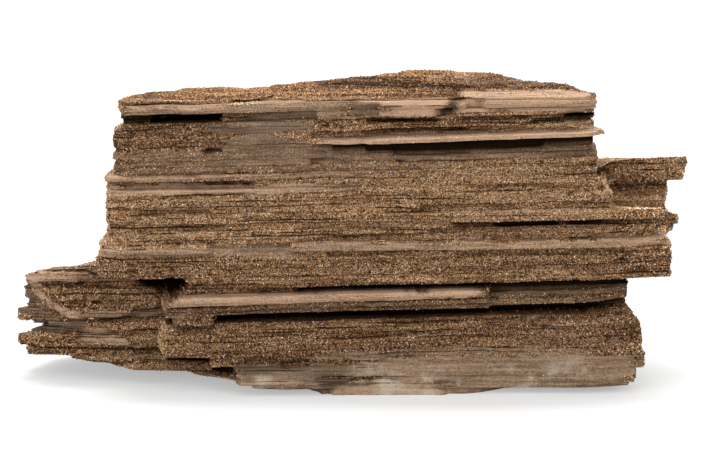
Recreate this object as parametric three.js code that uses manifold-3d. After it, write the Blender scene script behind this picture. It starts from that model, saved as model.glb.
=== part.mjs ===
// A block of petrified wood, lying on its flat foot. The wood split along its bedding before it turned to
// stone, so the block is a stack of flat beds of grain that runs along X. Each bed broke off at its own
// length and depth: some stand out as ledges, some are set back as slots, and two groups of them reach out
// as lobes, one low on the left and one high on the right.
// Millimetres, +Z up, -Y is the front. The origin is under the middle of the block, on the surface it rests on.
import * as THREE from "three";
import { mergeVertices } from "three/addons/utils/BufferGeometryUtils.js";
import Module from "manifold-3d";

// The face runs between two fixed corners. What lies past them belongs to the broken ends.
const FACE_LEFT = -66;
const FACE_RIGHT = 68;
const FACE_STATION = 8.6; // spacing of the points along the front face
const BACK_STATION = 13.5;
const STEP_RUN = 0.7; // how far along X a bed takes to step from one depth to the next
const FRONT_CHIPS = 0.5; // how far chips reach in and out of the front edges
const END_CHIPS = 0.7;
const BACK_CHIPS = 1.8;

// How far the back stands at each height: the block is a wedge, broad at the foot and narrow at the top.
const BACK_PROFILE = [
  [0, 25],
  [10, 29],
  [34, 30],
  [48, 26],
  [60, 20],
  [72, 13],
  [84, 6],
  [89, 2],
];
const BACK_TERRACE = 4.5; // the back drops in steps of about this height
const TAPER = { from: 55, over: 32, depth: 15 }; // above `from`, the back comes forward towards both ends

// The beds rise to the right. Rise in mm for each mm of X, at each height.
const BEDDING_RISE = [
  [0, 0],
  [2.2, 0],
  [9, 0.014],
  [22, 0.03],
  [29, 0.031],
  [35, 0.018],
  [46, 0.015],
  [64, 0.014],
  [73, 0.03],
  [78, 0.037],
  [85, 0.022],
  [89, 0.014],
];

// Plan of each broken end, from the front corner round to the back. `back` is the back's own depth there.
const leftEnds = {
  foot: (back) => [[-10.5, -26], [-28, -10], [-37, 8], [-36, back - 4]],
  rim: (back) => [[-34.6, -26], [-39, -8], [-44, 8], [-50, back - 4]],
  strake: (back) => [[-47.4, -18], [-53, -8], [-57, 8], [-58, back - 4]],
  keel: (back) => [[-68, -17], [-75.4, -10], [-75, 8], [-68, back - 5]],
  sill: (back) => [[-79, -16], [-86, -10], [-85, 8], [-74, back - 6]],
  lobeFoot: (back) => [[-86, -15], [-99.6, -10], [-101, -3], [-95, 10], [-78, back - 7]],
  lobeLow: (back) => [[-88, -15], [-101.8, -11], [-102.6, -8], [-96, -4], [-92, 10], [-78, back - 7]],
  lobeNotch: (back) => [[-84, -13], [-95.6, -9], [-93, -4], [-89, 12], [-77, back - 7]],
  lobeTip: (back) => [[-89, -14], [-101.8, -10], [-102.8, -7], [-96, -1], [-91, 9], [-78, back - 6]],
  lobeMid: (back) => [[-92, -15], [-99.8, -8], [-98, 3], [-93, 12], [-79, back - 6]],
  lobeUpper: (back) => [[-91, -15], [-100.6, -8], [-98.4, 1], [-91, 11], [-78, back - 7]],
  lobeTop: (back) => [[-86, -14], [-99.2, -7], [-98.6, -2], [-87, 10], [-76, back - 8]],
  lobeCrest: (back) => [[-83, -12], [-90, -5], [-87, 1], [-80, 8], [-73, back - 12]],
  slab: (back) => [[-74.6, -26], [-74.8, -12], [-73, 4], [-68, back - 6]],
  slabMid: (back) => [[-71.9, -26], [-72.4, -14], [-71, 0], [-66, back - 6]],
  splinter: (back) => [[-72.4, -26.6], [-72, -18], [-70, -2], [-64, back - 5]],
  shoulder: (back) => [[-69.9, -25], [-70.2, -15], [-68, -4], [-61, back - 5]],
  top: (back) => [[-67.6, -24], [-67.4, -19], [-65, -12], [-56, back - 5]],
};
const rightEnds = {
  foot: (back) => [[82.2, -24], [82, -8], [79, 8], [72, back - 3]],
  sill: (back) => [[85, -25], [85.4, -8], [82, 10], [75, back - 4]],
  lower: (back) => [[87.3, -25], [87.6, -10], [83, 8], [77, back - 4]],
  lowerTop: (back) => [[84.6, -24], [84.4, -9], [81, 8], [76, back - 4]],
  strata: (back) => [[81.8, -20], [82, -8], [80, 8], [75, back - 4]],
  middle: (back) => [[93.6, -26], [94.4, -12], [91, 4], [80, back - 5]],
  middleTop: (back) => [[92.4, -26], [93.6, -14], [98, -4], [86, back - 5]],
  bulge: (back) => [[88.6, -25], [89.6, -12], [98.6, -8], [96, 7], [80, back - 4]],
  shelf: (back) => [[91.4, -28], [91.2, -12], [96, -8], [94.6, 6], [80, back - 4]],
  neck: (back) => [[76.2, -26], [77.4, -8], [95.4, -6], [94, 7], [79, back - 3]],
  rearShelf: (back) => [[74.6, -26], [75.4, -8], [101, -9], [100.4, 4], [80, back - 2]],
  rearCrest: (back) => [[72.8, -26], [74.2, -7], [94.6, -8], [101.2, -3], [82, back - 1]],
  slab: (back) => [[71.6, -25], [72.4, -13], [71, 0], [66, back - 4]],
  slabTop: (back) => [[70.2, -25], [70.8, -14], [68, -3], [61, back - 4]],
  splinter: (back) => [[73.6, -29.6], [71, -19], [69, -5], [61, back - 4]],
  top: (back) => [[70.4, -25], [70, -20], [66, -12], [56, back - 5]],
};

// The beds, from the foot up. `top` is the bed's upper face at X = 0. `face` holds [X, Y] pairs: from that X
// on, to the next one, the front of the bed stands at that Y.
const beds = [
  { top: 1.9, left: "foot", right: "foot", from: -9.6, face: [[-9.6, -28.4], [-4, -30], [28, -27.6], [60, -26.4]] },
  { top: 3.4, left: "rim", right: "foot", from: -33, face: [[-33, -28.8], [-12, -30.2], [17, -29.4], [45, -28.2]] },
  { top: 4.9, left: "strake", right: "sill", from: -46, face: [[-46, -19], [-35, -29], [-12.6, -30], [17, -28.8]] },
  { top: 7, left: "keel", right: "sill", face: [[-66, -18.6], [-35, -28.8], [-12.6, -27.2], [40, -27.9]] },
  { top: 8.6, left: "sill", right: "lower", face: [[-66, -17], [-56, -18.4], [-35.6, -28.4], [-13, -27.4]] },
  { top: 12.1, left: "lobeFoot", right: "lower", face: [[-66, -14], [-56, -17], [-43, -26.8]] },
  { top: 16.2, left: "lobeLow", right: "lower", face: [[-66, -15.6], [-57, -27.6], [30, -27]] },
  { top: 18.8, left: "lobeNotch", right: "lowerTop", face: [[-66, -15], [-57, -27.2], [-20, -26.8]] },
  { top: 21.2, left: "lobeNotch", right: "lowerTop", face: [[-66, -13.4], [-57, -26.6], [50, -27]] },
  { top: 22.8, left: "lobeTip", right: "strata", face: [[-66, -13.8], [-56, -26.2], [20, -25.4]] },
  { top: 24.9, left: "lobeTip", right: "strata", face: [[-66, -15.6], [-52, -28.6], [-40, -17.6], [30, -19.4], [60, -22]] },
  { top: 27, left: "lobeMid", right: "strata", face: [[-66, -16.4], [-56, -29.6], [-40, -28.6], [40.2, -25.4]] },
  { top: 28.9, left: "lobeMid", right: "strata", face: [[-66, -16.8], [-56, -30.4], [40.2, -24]] },
  { top: 31.5, left: "lobeUpper", right: "strata", face: [[-66, -16.2], [-55.4, -31.6], [40.4, -22.4]] },
  { top: 33.1, left: "lobeTop", right: "strata", face: [[-66, -9], [-51, -27.4], [-16, -24.4], [0, -21], [41, -18.4]] },
  { top: 36.2, left: "lobeCrest", right: "middle", face: [[-66, -10], [-50.4, -28.2], [-28, -28.8]] },
  { top: 38.4, left: "slab", right: "middle", face: [[-66, -28.2], [20, -28.7]] },
  { top: 41, left: "slab", right: "middle", face: [[-66, -28.8], [-30, -28.3], [48, -28.9]] },
  { top: 43.4, left: "slab", right: "middle", face: [[-66, -28.5], [30, -28]] },
  { top: 46.2, left: "slab", right: "middleTop", face: [[-66, -29.4], [-42, -28.5], [-18, -29.5]] },
  { top: 48.4, left: "slabMid", right: "bulge", face: [[-66, -28.3], [-15, -27.6], [23, -27]] },
  { top: 50.1, left: "slabMid", right: "bulge", face: [[-66, -28.6], [-15, -28], [23, -26.8]] },
  { top: 52.2, left: "slabMid", right: "bulge", face: [[-66, -28], [-15, -27.4], [29, -23.6], [42, -22]] },
  { top: 55, left: "slabMid", right: "shelf", face: [[-66, -28.9], [22, -29], [30, -30.6]] },
  { top: 57.2, left: "slabMid", right: "neck", face: [[-66, -27.9], [-20, -28.4], [20, -27]] },
  { top: 59.7, left: "slabMid", right: "neck", face: [[-66, -28.5], [-6, -27.9], [50, -28.2]] },
  { top: 62.6, left: "slabMid", right: "rearShelf", face: [[-66, -28.7], [36, -27.4]] },
  { top: 65, left: "slabMid", right: "rearCrest", face: [[-66, -27.4], [-28, -28.2], [30, -27.6]] },
  { top: 67.3, left: "splinter", right: "slab", face: [[-66, -29.1], [-30, -28.5], [20, -27.2]] },
  { top: 69.6, left: "shoulder", right: "slab", face: [[-66, -28], [-16, -27.6], [16, -26.8]] },
  { top: 71.4, left: "shoulder", right: "slab", face: [[-66, -27.7], [-12, -26.4]] },
  { top: 74.9, left: "shoulder", right: "slabTop", face: [[-66, -27.4], [-45, -19.5], [-37, -27.2], [-12, -24.6]] },
  { top: 77.2, left: "shoulder", right: "splinter", face: [[-66, -27.1], [-12, -33.4]] },
  { top: 79.2, left: "shoulder", right: "top", face: [[-66, -27.3], [-12, -26.6], [4, -25.4], [40, -26]] },
  { top: 81, left: "shoulder", right: "top", face: [[-66, -26.8], [-36, -27.4], [4, -26.8], [52, -23.6]] },
  { top: 82.5, left: "top", right: "top", face: [[-66, -26.4], [-36, -27.6], [4, -25.6], [62, -22]] },
  { top: 84.9, left: "top", right: "top", face: [[-66, -24], [-62, -14.6], [-39, -26.2], [-10, -28.4], [26, -26.8], [33, -21.6], [38, -27]] },
  { top: 87.4, left: "top", right: "top", face: [[-66, -28.4], [-30, -28], [33, -26.4], [38, -28.8]] },
  { top: 88.2, left: "top", right: "top", face: [[-66, -25.8], [-34, -21.6], [-14, -26], [36, -28]] },
  { top: 89.2, cap: { from: -60, to: -30, face: -22, back: -4 } },
  { top: 89.2, cap: { from: -33, to: 63, face: -23, back: 0 } },
  { top: 90, cap: { from: -52, to: -37, face: -18, back: -9 } },
  { top: 90.4, cap: { from: -19, to: 60, face: -19.4, back: 0 } },
  { top: 91.6, cap: { from: -3, to: 51, face: -16.6, back: -1 } },
  { top: 92.7, cap: { from: 6, to: 46, face: -13.6, back: -2 } },
  { top: 93.7, cap: { from: 13, to: 33, face: -11, back: -3.4 } },
];

/** The value at `at` of a line through [place, value] points. */
function alongLine(points, at) {
  const next = points.findIndex(([place]) => place >= at);
  if (next === 0) return points[0][1];
  if (next < 0) return points[points.length - 1][1];
  const [[a, va], [b, vb]] = [points[next - 1], points[next]];
  return va + ((vb - va) * (at - a)) / (b - a);
}

/** A repeatable number from -1 to 1 for a chip of one bed. */
function chip(bed, place) {
  const wave = Math.sin(bed * 127.1 + place * 311.7) * 43758.5453;
  return 2 * (wave - Math.floor(wave)) - 1;
}

/** Splits a line of points so that none lie further apart than `gap`. */
function withStations(points, gap) {
  return points.flatMap(([x, y], i) => {
    if (i + 1 === points.length) return [[x, y]];
    const [nextX, nextY] = points[i + 1];
    const count = Math.max(1, Math.round(Math.hypot(nextX - x, nextY - y) / gap));
    return Array.from({ length: count }, (_, k) => [
      x + ((nextX - x) * k) / count,
      y + ((nextY - y) * k) / count,
    ]);
  });
}

/** The front edge of a bed from left to right, with its steps. */
function frontEdge(face, from, to) {
  const line = [];
  face.forEach(([x, y], i) => {
    const start = i ? x + STEP_RUN / 2 : from;
    const end = i + 1 < face.length ? face[i + 1][0] - STEP_RUN / 2 : to;
    line.push([start, y], [end, y]);
  });
  return withStations(line, FACE_STATION);
}

/** How much further forward the back stands at the two ends than in the middle, at one height. */
function endTaper(top) {
  return THREE.MathUtils.clamp((top - TAPER.from) / TAPER.over, 0, 1) * TAPER.depth;
}

/** How far back a bed reaches at one X. */
function backDepth(x, top, number) {
  const terrace = Math.floor(top / BACK_TERRACE) * BACK_TERRACE;
  const profile = alongLine(BACK_PROFILE, terrace);
  return profile - endTaper(top) * (x / FACE_LEFT) ** 2 + BACK_CHIPS * chip(number, x);
}

/** The plan outline of one bed, anticlockwise from its front left corner. */
function bedOutline(bed, number) {
  const from = bed.from ?? FACE_LEFT;
  const front = frontEdge(bed.face, from, FACE_RIGHT);
  const back = backDepth(FACE_LEFT, bed.top, number);
  const behind = (corner) => ([x, y]) => [x, Math.max(y, corner + 1)];
  const right = withStations(rightEnds[bed.right](back).map(behind(front.at(-1)[1])), FACE_STATION);
  const left = withStations(leftEnds[bed.left](back).map(behind(front[0][1])), FACE_STATION).reverse();
  const stations = Math.round((right.at(-1)[0] - left[0][0]) / BACK_STATION);
  const rear = Array.from({ length: stations - 1 }, (_, k) => {
    const x = THREE.MathUtils.lerp(right.at(-1)[0], left[0][0], (k + 1) / stations);
    return [x, backDepth(x, bed.top, number)];
  });
  return [
    ...front.map(([x, y], i) => [x, y + FRONT_CHIPS * chip(number, i)]),
    ...right.map(([x, y], i) => [x + END_CHIPS * chip(number, 50 + i), y]),
    ...rear,
    ...left.map(([x, y], i) => [x + END_CHIPS * chip(number, 80 + i), y]),
  ];
}

/** The plan outline of a thin cap lamina that lies on the block's top. */
function capOutline({ from, to, face, back }, number) {
  const length = to - from;
  const share = (part) => from + length * part;
  return [
    [from, face + 3],
    [share(0.12), face],
    [share(0.3), face - 1.2 + chip(number, 1)],
    [share(0.5), face + chip(number, 2)],
    [share(0.7), face - 0.8 + chip(number, 3)],
    [share(0.9), face + 0.6],
    [to, face + 2.6],
    [share(0.97), face + 5],
    [share(0.84), back - 5 + chip(number, 4)],
    [share(0.66), back + chip(number, 5)],
    [share(0.45), back + 1.5],
    [share(0.25), back - 4 + chip(number, 6)],
    [share(0.08), face + 6],
  ];
}

const wasm = await Module();
wasm.setup();

/** One bed as a solid: its plan outline, extruded from the top of the bed below to its own top. */
function bedSolid(outline, bottom, top) {
  const shape = new THREE.Shape(outline.map(([x, y]) => new THREE.Vector2(x, y)));
  const slab = new THREE.ExtrudeGeometry(shape, { depth: top - bottom, bevelEnabled: false });
  slab.deleteAttribute("normal");
  slab.deleteAttribute("uv");
  const height = slab.getAttribute("position");
  for (let i = 0; i < height.count; i++) height.setZ(i, height.getZ(i) > 0 ? top : bottom);
  const merged = mergeVertices(slab, 1e-4);
  return new wasm.Manifold(
    new wasm.Mesh({
      numProp: 3,
      vertProperties: merged.getAttribute("position").array,
      triVerts: new Uint32Array(merged.index.array),
    }),
  );
}

/** Leans every bed by the rise that it has at its height. */
function tiltBeds(positions) {
  for (let i = 0; i < positions.length; i += 3) {
    positions[i + 2] += positions[i] * alongLine(BEDDING_RISE, positions[i + 2]);
  }
  return positions;
}

// A bed fills the height from the one below it. The caps stand on the last full bed.
const foundation = beds.findLast((bed) => !bed.cap).top;
const solids = beds.map((bed, number) => {
  const outline = bed.cap ? capOutline(bed.cap, number) : bedOutline(bed, number);
  const bottom = bed.cap ? foundation : number ? beds[number - 1].top : 0;
  return bedSolid(outline, bottom, bed.top);
});
const block = wasm.Manifold.union(solids).getMesh();

const geometry = new THREE.BufferGeometry();
geometry.setAttribute("position", new THREE.BufferAttribute(tiltBeds(block.vertProperties), 3));
geometry.setIndex(new THREE.BufferAttribute(block.triVerts, 1));
geometry.computeBoundingBox();
const middle = geometry.boundingBox.getCenter(new THREE.Vector3());
geometry.translate(-middle.x, -middle.y, 0);
geometry.computeVertexNormals();

const stone = new THREE.MeshStandardMaterial({ color: 0x8a6c52, roughness: 0.82, metalness: 0 });
const wood = new THREE.Mesh(geometry, stone);
wood.name = "petrified_wood";

const part = new THREE.Group();
part.name = "quartz_covered_petrified_wood";
part.add(wood);

export default part;
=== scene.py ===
"""A block of petrified wood with a skin of fine quartz.

The wood split along its flat beds before it turned to stone, so the block is a stack of thin layers of grain that
runs along X. Each layer broke off at its own depth and length. Fine quartz grew over most of the broken faces, and
left some smooth bands of bare stone. Sizes in the tables are millimetres, and heights are those at X = 0.
"""
import logging
import math
from collections.abc import Callable, Iterator
from contextlib import contextmanager
from dataclasses import dataclass, field
from enum import Enum, IntEnum

import bpy
import numpy as np
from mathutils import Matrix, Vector


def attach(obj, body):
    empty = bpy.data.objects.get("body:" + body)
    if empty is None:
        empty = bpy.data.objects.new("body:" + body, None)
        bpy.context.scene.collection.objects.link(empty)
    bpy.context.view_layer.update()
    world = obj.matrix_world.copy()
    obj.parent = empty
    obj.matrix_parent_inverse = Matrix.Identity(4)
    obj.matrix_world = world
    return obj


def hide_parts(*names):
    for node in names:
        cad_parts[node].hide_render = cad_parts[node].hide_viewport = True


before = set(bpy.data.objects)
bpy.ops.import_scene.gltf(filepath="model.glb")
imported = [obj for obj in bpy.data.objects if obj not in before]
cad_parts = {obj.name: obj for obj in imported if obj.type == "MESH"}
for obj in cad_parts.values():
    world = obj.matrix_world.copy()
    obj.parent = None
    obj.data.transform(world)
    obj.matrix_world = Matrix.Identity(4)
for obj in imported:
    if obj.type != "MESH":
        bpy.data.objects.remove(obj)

MM = 0.001
NODE = "petrified_wood"
BODY = "root"
SEED = 20
MIDDLE = (-0.984, -1.073)  # the middle of the tables' outline, which is moved to the block's own middle
TINY = 1e-9  # keeps a length from being zero

Points = list[tuple[float, float]]
log = logging.getLogger("petrified_wood")


# ---------------------------------------------------------------------------------------------------- the layers


@dataclass(frozen=True)
class Bed:
    """One thick bed of the block: its upper face, its two broken ends and the depth of its front."""

    top: float
    left: str
    right: str
    face: Points
    start: float = -66.0
    stop: float = 68.0


@dataclass(frozen=True)
class Cap:
    """A thin remnant of a bed that lies on the block's top."""

    top: float
    left: float
    right: float
    face: float
    back: float


# Plans of the broken ends, from the front corner round to the back. A second number of None stands for the depth
# of the block's own back at that bed, less the third number.
LEFT_ENDS: dict[str, list[tuple]] = {
    "foot": [(-10.5, -26), (-28, -10), (-37, 8), (-36, None, 4)],
    "rim": [(-21.6, -26), (-30, -8), (-40, 8), (-50, None, 4)],
    "strake": [(-47.4, -18), (-53, -8), (-57, 8), (-58, None, 4)],
    "keel": [(-68, -17), (-75.4, -10), (-75, 8), (-68, None, 5)],
    "sill": [(-79, -16), (-86, -10), (-85, 8), (-74, None, 6)],
    "lobe_foot": [(-86, -15), (-99.6, -10), (-101, -3), (-95, 10), (-78, None, 7)],
    "lobe_low": [(-88, -15), (-101.8, -11), (-102.6, -8), (-96, -4), (-92, 10), (-78, None, 7)],
    "lobe_gape": [(-87, -14.6), (-99, -10), (-96, -4), (-90, 11), (-77, None, 7)],
    "lobe_notch": [(-86, -14.4), (-95.6, -10), (-93, -4), (-89, 12), (-77, None, 7)],
    "lobe_tip": [(-89, -14), (-101.8, -10), (-102.8, -7), (-96, -1), (-91, 9), (-78, None, 6)],
    "lobe_mid": [(-92, -15), (-99.8, -8), (-98, 3), (-93, 12), (-79, None, 6)],
    "lobe_upper": [(-91, -15), (-100.6, -8), (-98.4, 1), (-91, 11), (-78, None, 7)],
    "lobe_top": [(-86, -14), (-100.4, -8), (-99, -2), (-87, 10), (-76, None, 8)],
    "lobe_crest": [(-86, -13.6), (-99.8, -8.6), (-96, -2), (-85, 9), (-75, None, 10)],
    "slab": [(-74.6, -26), (-74.8, -12), (-73, 4), (-68, None, 6)],
    "slab_mid": [(-71.9, -26), (-72.4, -14), (-71, 0), (-66, None, 6)],
    "splinter": [(-72.4, -26.6), (-72, -18), (-70, -2), (-64, None, 5)],
    "shoulder": [(-69.9, -25), (-70.2, -15), (-68, -4), (-61, None, 5)],
    "top": [(-67.6, -24), (-67.4, -19), (-65, -12), (-56, None, 5)],
}
RIGHT_ENDS: dict[str, list[tuple]] = {
    "toe": [(39, -25), (54, -14), (66, 4), (64, None, 3)],
    "foot": [(82.2, -24), (82, -8), (79, 8), (72, None, 3)],
    "sill": [(83.6, -25), (84, -8), (82, 10), (75, None, 4)],
    "lower": [(85.7, -25), (86.2, -10), (83, 8), (77, None, 4)],
    "lower_top": [(83.6, -24), (83.4, -9), (81, 8), (76, None, 4)],
    "strata": [(81.8, -20), (82, -8), (80, 8), (75, None, 4)],
    "middle": [(93.6, -26), (94.4, -12), (91, 4), (80, None, 5)],
    "middle_top": [(92.4, -26), (93.6, -14), (98, -4), (86, None, 5)],
    "bulge": [(88.6, -25), (89.6, -12), (98.6, -8), (96, 7), (80, None, 4)],
    "shelf": [(91.4, -28), (91.2, -12), (96, -8), (94.6, 6), (80, None, 4)],
    "neck": [(76.2, -26), (77.4, -8.4), (95.4, -7.8), (94, 7), (79, None, 3)],
    "rear_shelf": [(74.6, -26), (75.4, -8), (100.2, -9), (100, 4), (80, None, 2)],
    "rear_crest": [(72.8, -26), (74.2, -7), (100.6, -8.6), (101.2, -3), (82, None, 1)],
    "slab": [(71.6, -25), (72.4, -13), (71, 0), (66, None, 4)],
    "slab_top": [(70.2, -25), (70.8, -14), (68, -3), (61, None, 4)],
    "splinter": [(73.6, -29.6), (71, -19), (69, -5), (61, None, 4)],
    "top": [(70.4, -25), (70, -20), (66, -12), (56, None, 5)],
}

BEDS: list[Bed] = [
    Bed(1.9, "foot", "toe", [(-9.6, -28.4), (-4, -30), (28, -27.6)], -9.6, 34.0),
    Bed(3.4, "rim", "foot", [(-20, -28.8), (-12, -30.2), (17, -29.4), (45, -28.2)], -20),
    Bed(4.9, "strake", "sill", [(-46, -19), (-35, -29), (-12.6, -30), (17, -28.8)], -46),
    Bed(7, "keel", "sill", [(-66, -18.6), (-35, -28.8), (-12.6, -27.2), (40, -27.9)]),
    Bed(8.6, "sill", "lower", [(-66, -17), (-56, -18.4), (-35.6, -28.4), (-13, -27.4)]),
    Bed(12.1, "lobe_foot", "lower", [(-66, -14), (-56, -17), (-43, -26.8)]),
    Bed(15.8, "lobe_low", "lower", [(-66, -15.6), (-57, -27.6), (30, -27)]),
    Bed(17.2, "lobe_gape", "lower", [(-66, -15.4), (-57, -27.4), (30, -27)]),
    Bed(19.2, "lobe_notch", "lower_top", [(-66, -15), (-57, -27.2), (-20, -26.8)]),
    Bed(21, "lobe_gape", "lower_top", [(-66, -15.2), (-57, -26.6), (50, -27)]),
    Bed(22.3, "lobe_tip", "strata", [(-66, -15), (-56, -26.2), (20, -25.4)]),
    Bed(25.2, "lobe_tip", "strata", [(-66, -15.6), (-54, -28.6), (-40, -17.6), (30, -19)]),
    Bed(27, "lobe_mid", "strata", [(-66, -16.4), (-56, -29.6), (-40, -28.6), (40.2, -25.4)]),
    Bed(28.9, "lobe_mid", "strata", [(-66, -16.8), (-56, -30.4), (40.2, -24)]),
    Bed(31.5, "lobe_upper", "strata", [(-66, -16.2), (-55.4, -31.6), (40.4, -22.4)]),
    Bed(33.1, "lobe_top", "strata", [(-66, -9), (-51, -27.4), (-16, -24.4), (0, -21), (41, -18.4)]),
    Bed(36.2, "lobe_crest", "middle", [(-66, -10), (-50.4, -28.2), (-28, -28.8)]),
    Bed(38.4, "slab", "middle", [(-66, -28.2), (20, -28.7)]),
    Bed(41, "slab", "middle", [(-66, -28.8), (-30, -28.3), (48, -28.9)]),
    Bed(43.4, "slab", "middle", [(-66, -28.5), (30, -28)]),
    Bed(46.2, "slab", "middle_top", [(-66, -29.4), (-42, -28.5), (-18, -29.5)]),
    Bed(48.4, "slab_mid", "bulge", [(-66, -28.3), (-15, -27.6), (23, -27)]),
    Bed(50.1, "slab_mid", "bulge", [(-66, -28.6), (-15, -28), (23, -26.8)]),
    Bed(52.2, "slab_mid", "bulge", [(-66, -28), (-15, -27.4), (29, -26.2), (42, -25), (60, -26.4)]),
    Bed(55, "slab_mid", "shelf", [(-66, -28.9), (22, -29), (30, -30.6)]),
    Bed(57.2, "slab_mid", "neck", [(-66, -27.9), (-20, -28.4), (20, -27)]),
    Bed(59.7, "slab_mid", "neck", [(-66, -28.5), (-6, -27.9), (50, -28.2)]),
    Bed(62.6, "slab_mid", "rear_shelf", [(-66, -28.7), (36, -27.4)]),
    Bed(65, "slab_mid", "rear_crest", [(-66, -27.4), (-28, -28.2), (30, -27.6)]),
    Bed(67.3, "splinter", "slab", [(-66, -29.1), (-30, -28.5), (20, -27.2)]),
    Bed(69.6, "shoulder", "slab", [(-66, -28), (-16, -27.6), (16, -26.8)]),
    Bed(71.4, "shoulder", "slab", [(-66, -27.7), (-12, -26.4)]),
    Bed(75.9, "shoulder", "slab_top", [(-66, -27.4), (-8, -26.4), (12, -25), (34, -26), (55, -28)]),
    Bed(77.1, "shoulder", "splinter", [(-66, -27.1), (-12, -29.8), (-6, -31.6), (4, -33.4)]),
    Bed(79.2, "shoulder", "top", [(-66, -27.3), (-12, -26.6), (4, -25.4), (40, -26)]),
    Bed(81, "shoulder", "top", [(-66, -26.8), (-36, -27.4), (4, -26.8), (52, -23.6)]),
    Bed(82.5, "top", "top", [(-66, -26.4), (-36, -27.6), (4, -25.6), (62, -22)]),
    Bed(84.9, "top", "top", [(-66, -24), (-57, -14.6), (-39, -26.2), (-10, -28.4), (24, -26.8), (25.4, -24.2),
         (29.6, -27.6)]),
    Bed(87.4, "top", "top", [(-66, -28.4), (-30, -28), (33, -26.4), (38, -28.8)]),
    Bed(88.2, "top", "top", [(-66, -25.8), (-34, -21.6), (-14, -26), (36, -28)]),
]
CAPS: list[Cap] = [
    Cap(89.2, -60, -30, -22, -4),
    Cap(89.2, -33, 63, -23, 0),
    Cap(90, -52, -37, -18, -9),
    Cap(90.4, -19, 60, -19.4, 0),
    Cap(91.6, -3, 51, -16.6, -1),
    Cap(92.7, 6, 46, -13.6, -2),
    Cap(93.7, 13, 33, -11, -3.4),
]


class Bedding:
    """The block's own shape: how its beds lean and how far back they reach."""

    face_left: float = -66.0  # where the beds' own fronts start
    rise: Points = [
        (0, 0), (2.2, 0), (9, 0.014), (22, 0.03), (29, 0.031), (35, 0.018), (46, 0.015),
        (64, 0.014), (73, 0.03), (78, 0.037), (85, 0.022), (89, 0.014),
    ]
    back: Points = [(0, 25), (10, 29), (34, 30), (48, 26), (60, 20), (72, 13), (84, 6), (89, 2)]
    taper_from: float = 55.0  # the height above which the back draws in towards the ends
    taper_over: float = 32.0
    taper_depth: float = 15.0

    @classmethod
    def lean(cls, x: np.ndarray, height: np.ndarray) -> np.ndarray:
        """How far a point is raised by the lean of the beds.

        Args:
            x: Places along the grain.
            height: Heights at X = 0.

        Returns:
            The rise in mm.
        """
        return x * np.interp(height, [p[0] for p in cls.rise], [p[1] for p in cls.rise])

    @classmethod
    def back_depth(cls, x: np.ndarray, height: float) -> np.ndarray:
        """How far back the block reaches.

        Args:
            x: Places along the grain.
            height: One height at X = 0.

        Returns:
            The depth of the back at each place.
        """
        profile = np.interp(height, [p[0] for p in cls.back], [p[1] for p in cls.back])
        taper = unit((height - cls.taper_from) / cls.taper_over) * cls.taper_depth
        return profile - taper * (x / cls.face_left) ** 2

    @classmethod
    def end_plan(cls, plan: list[tuple], corner: float, height: float) -> np.ndarray:
        """The plan of a broken end, with its back corner filled in.

        Args:
            plan: One of the plans in the tables.
            corner: Depth of the front at that end.
            height: The bed's height.

        Returns:
            The plan's points, from the front to the back.
        """
        back = float(cls.back_depth(np.array(cls.face_left), height))
        depths = [back - point[2] if point[1] is None else max(point[1], corner + 1) for point in plan]
        return np.array([(point[0], depth) for point, depth in zip(plan, depths)], float)

    @staticmethod
    def front_depth(bed: Bed, x: np.ndarray) -> np.ndarray:
        """Depth of a bed's front, with its steps a little softened.

        Args:
            bed: The bed.
            x: Places along the grain.

        Returns:
            The depth at each place.
        """
        depth = np.full(len(x), float(bed.face[0][1]))
        for (_, before), (start, after) in zip(bed.face, bed.face[1:]):
            run = 0.8 + 0.13 * abs(after - before)
            depth += (after - before) * unit((x - start) / run + 0.5)
        return depth


# ------------------------------------------------------------------------------------------ noise for broken stone


class Noise(IntEnum):
    """Every noise and set of random numbers, by what it shapes."""

    EDGE_LONG = 1
    EDGE_SHORT = 2
    EDGE_SPLINTER = 3
    PIECE_LENGTH = 4
    PIECE_START = 5
    PIECE_LOST = 6
    SIDE_RIPPLE = 7
    CREVICE_EDGE = 8
    GAPE_LENGTH = 10
    GAPE_CHANCE = 11
    NOTCH_DEPTH = 12
    GAPE_EDGE = 13
    SWELL = 14
    PIT_CROWD = 15
    PIT = 16
    BAND_EDGE = 31
    BAND_FRAY = 32
    BARE_PATCH = 33
    BARE_SPECK = 34
    PALE = 35
    GREY = 36
    BAND_TONGUE = 37
    CAP_EDGE = 41
    CAP_FRAY = 42
    TOP_RIPPLE = 43
    TOP_GRAIN = 44
    SAG_LONG = 52
    SAG_SHORT = 53
    SAG_FINE = 54
    QUARTZ_PATCH = 61
    TONE_BED = 62
    TONE_LAYER = 63
    LAMINA_LONG = 64
    LAMINA_SHORT = 65
    FLAKE_EDGE = 71
    FLAKE_FACE = 72


def scatter(cell: np.ndarray, kind: Noise) -> np.ndarray:
    """A repeatable random number for each cell of a lattice, from an integer hash.

    Args:
        cell: Whole numbers, one row for each point.
        kind: Which set of numbers.

    Returns:
        A number from 0 to 1 for each row.
    """
    key = cell.astype(np.int64) * np.array([73856093, 19349663, 83492791][: cell.shape[1]], np.int64)
    mixed = (key.sum(1) + kind * 2654435761) & 0xFFFFFFFF
    mixed = ((mixed ^ (mixed >> 15)) * 2246822519) & 0xFFFFFFFF
    mixed = ((mixed ^ (mixed >> 13)) * 3266489917) & 0xFFFFFFFF
    return ((mixed ^ (mixed >> 16)) & 0xFFFFFF) / 0xFFFFFF


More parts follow.
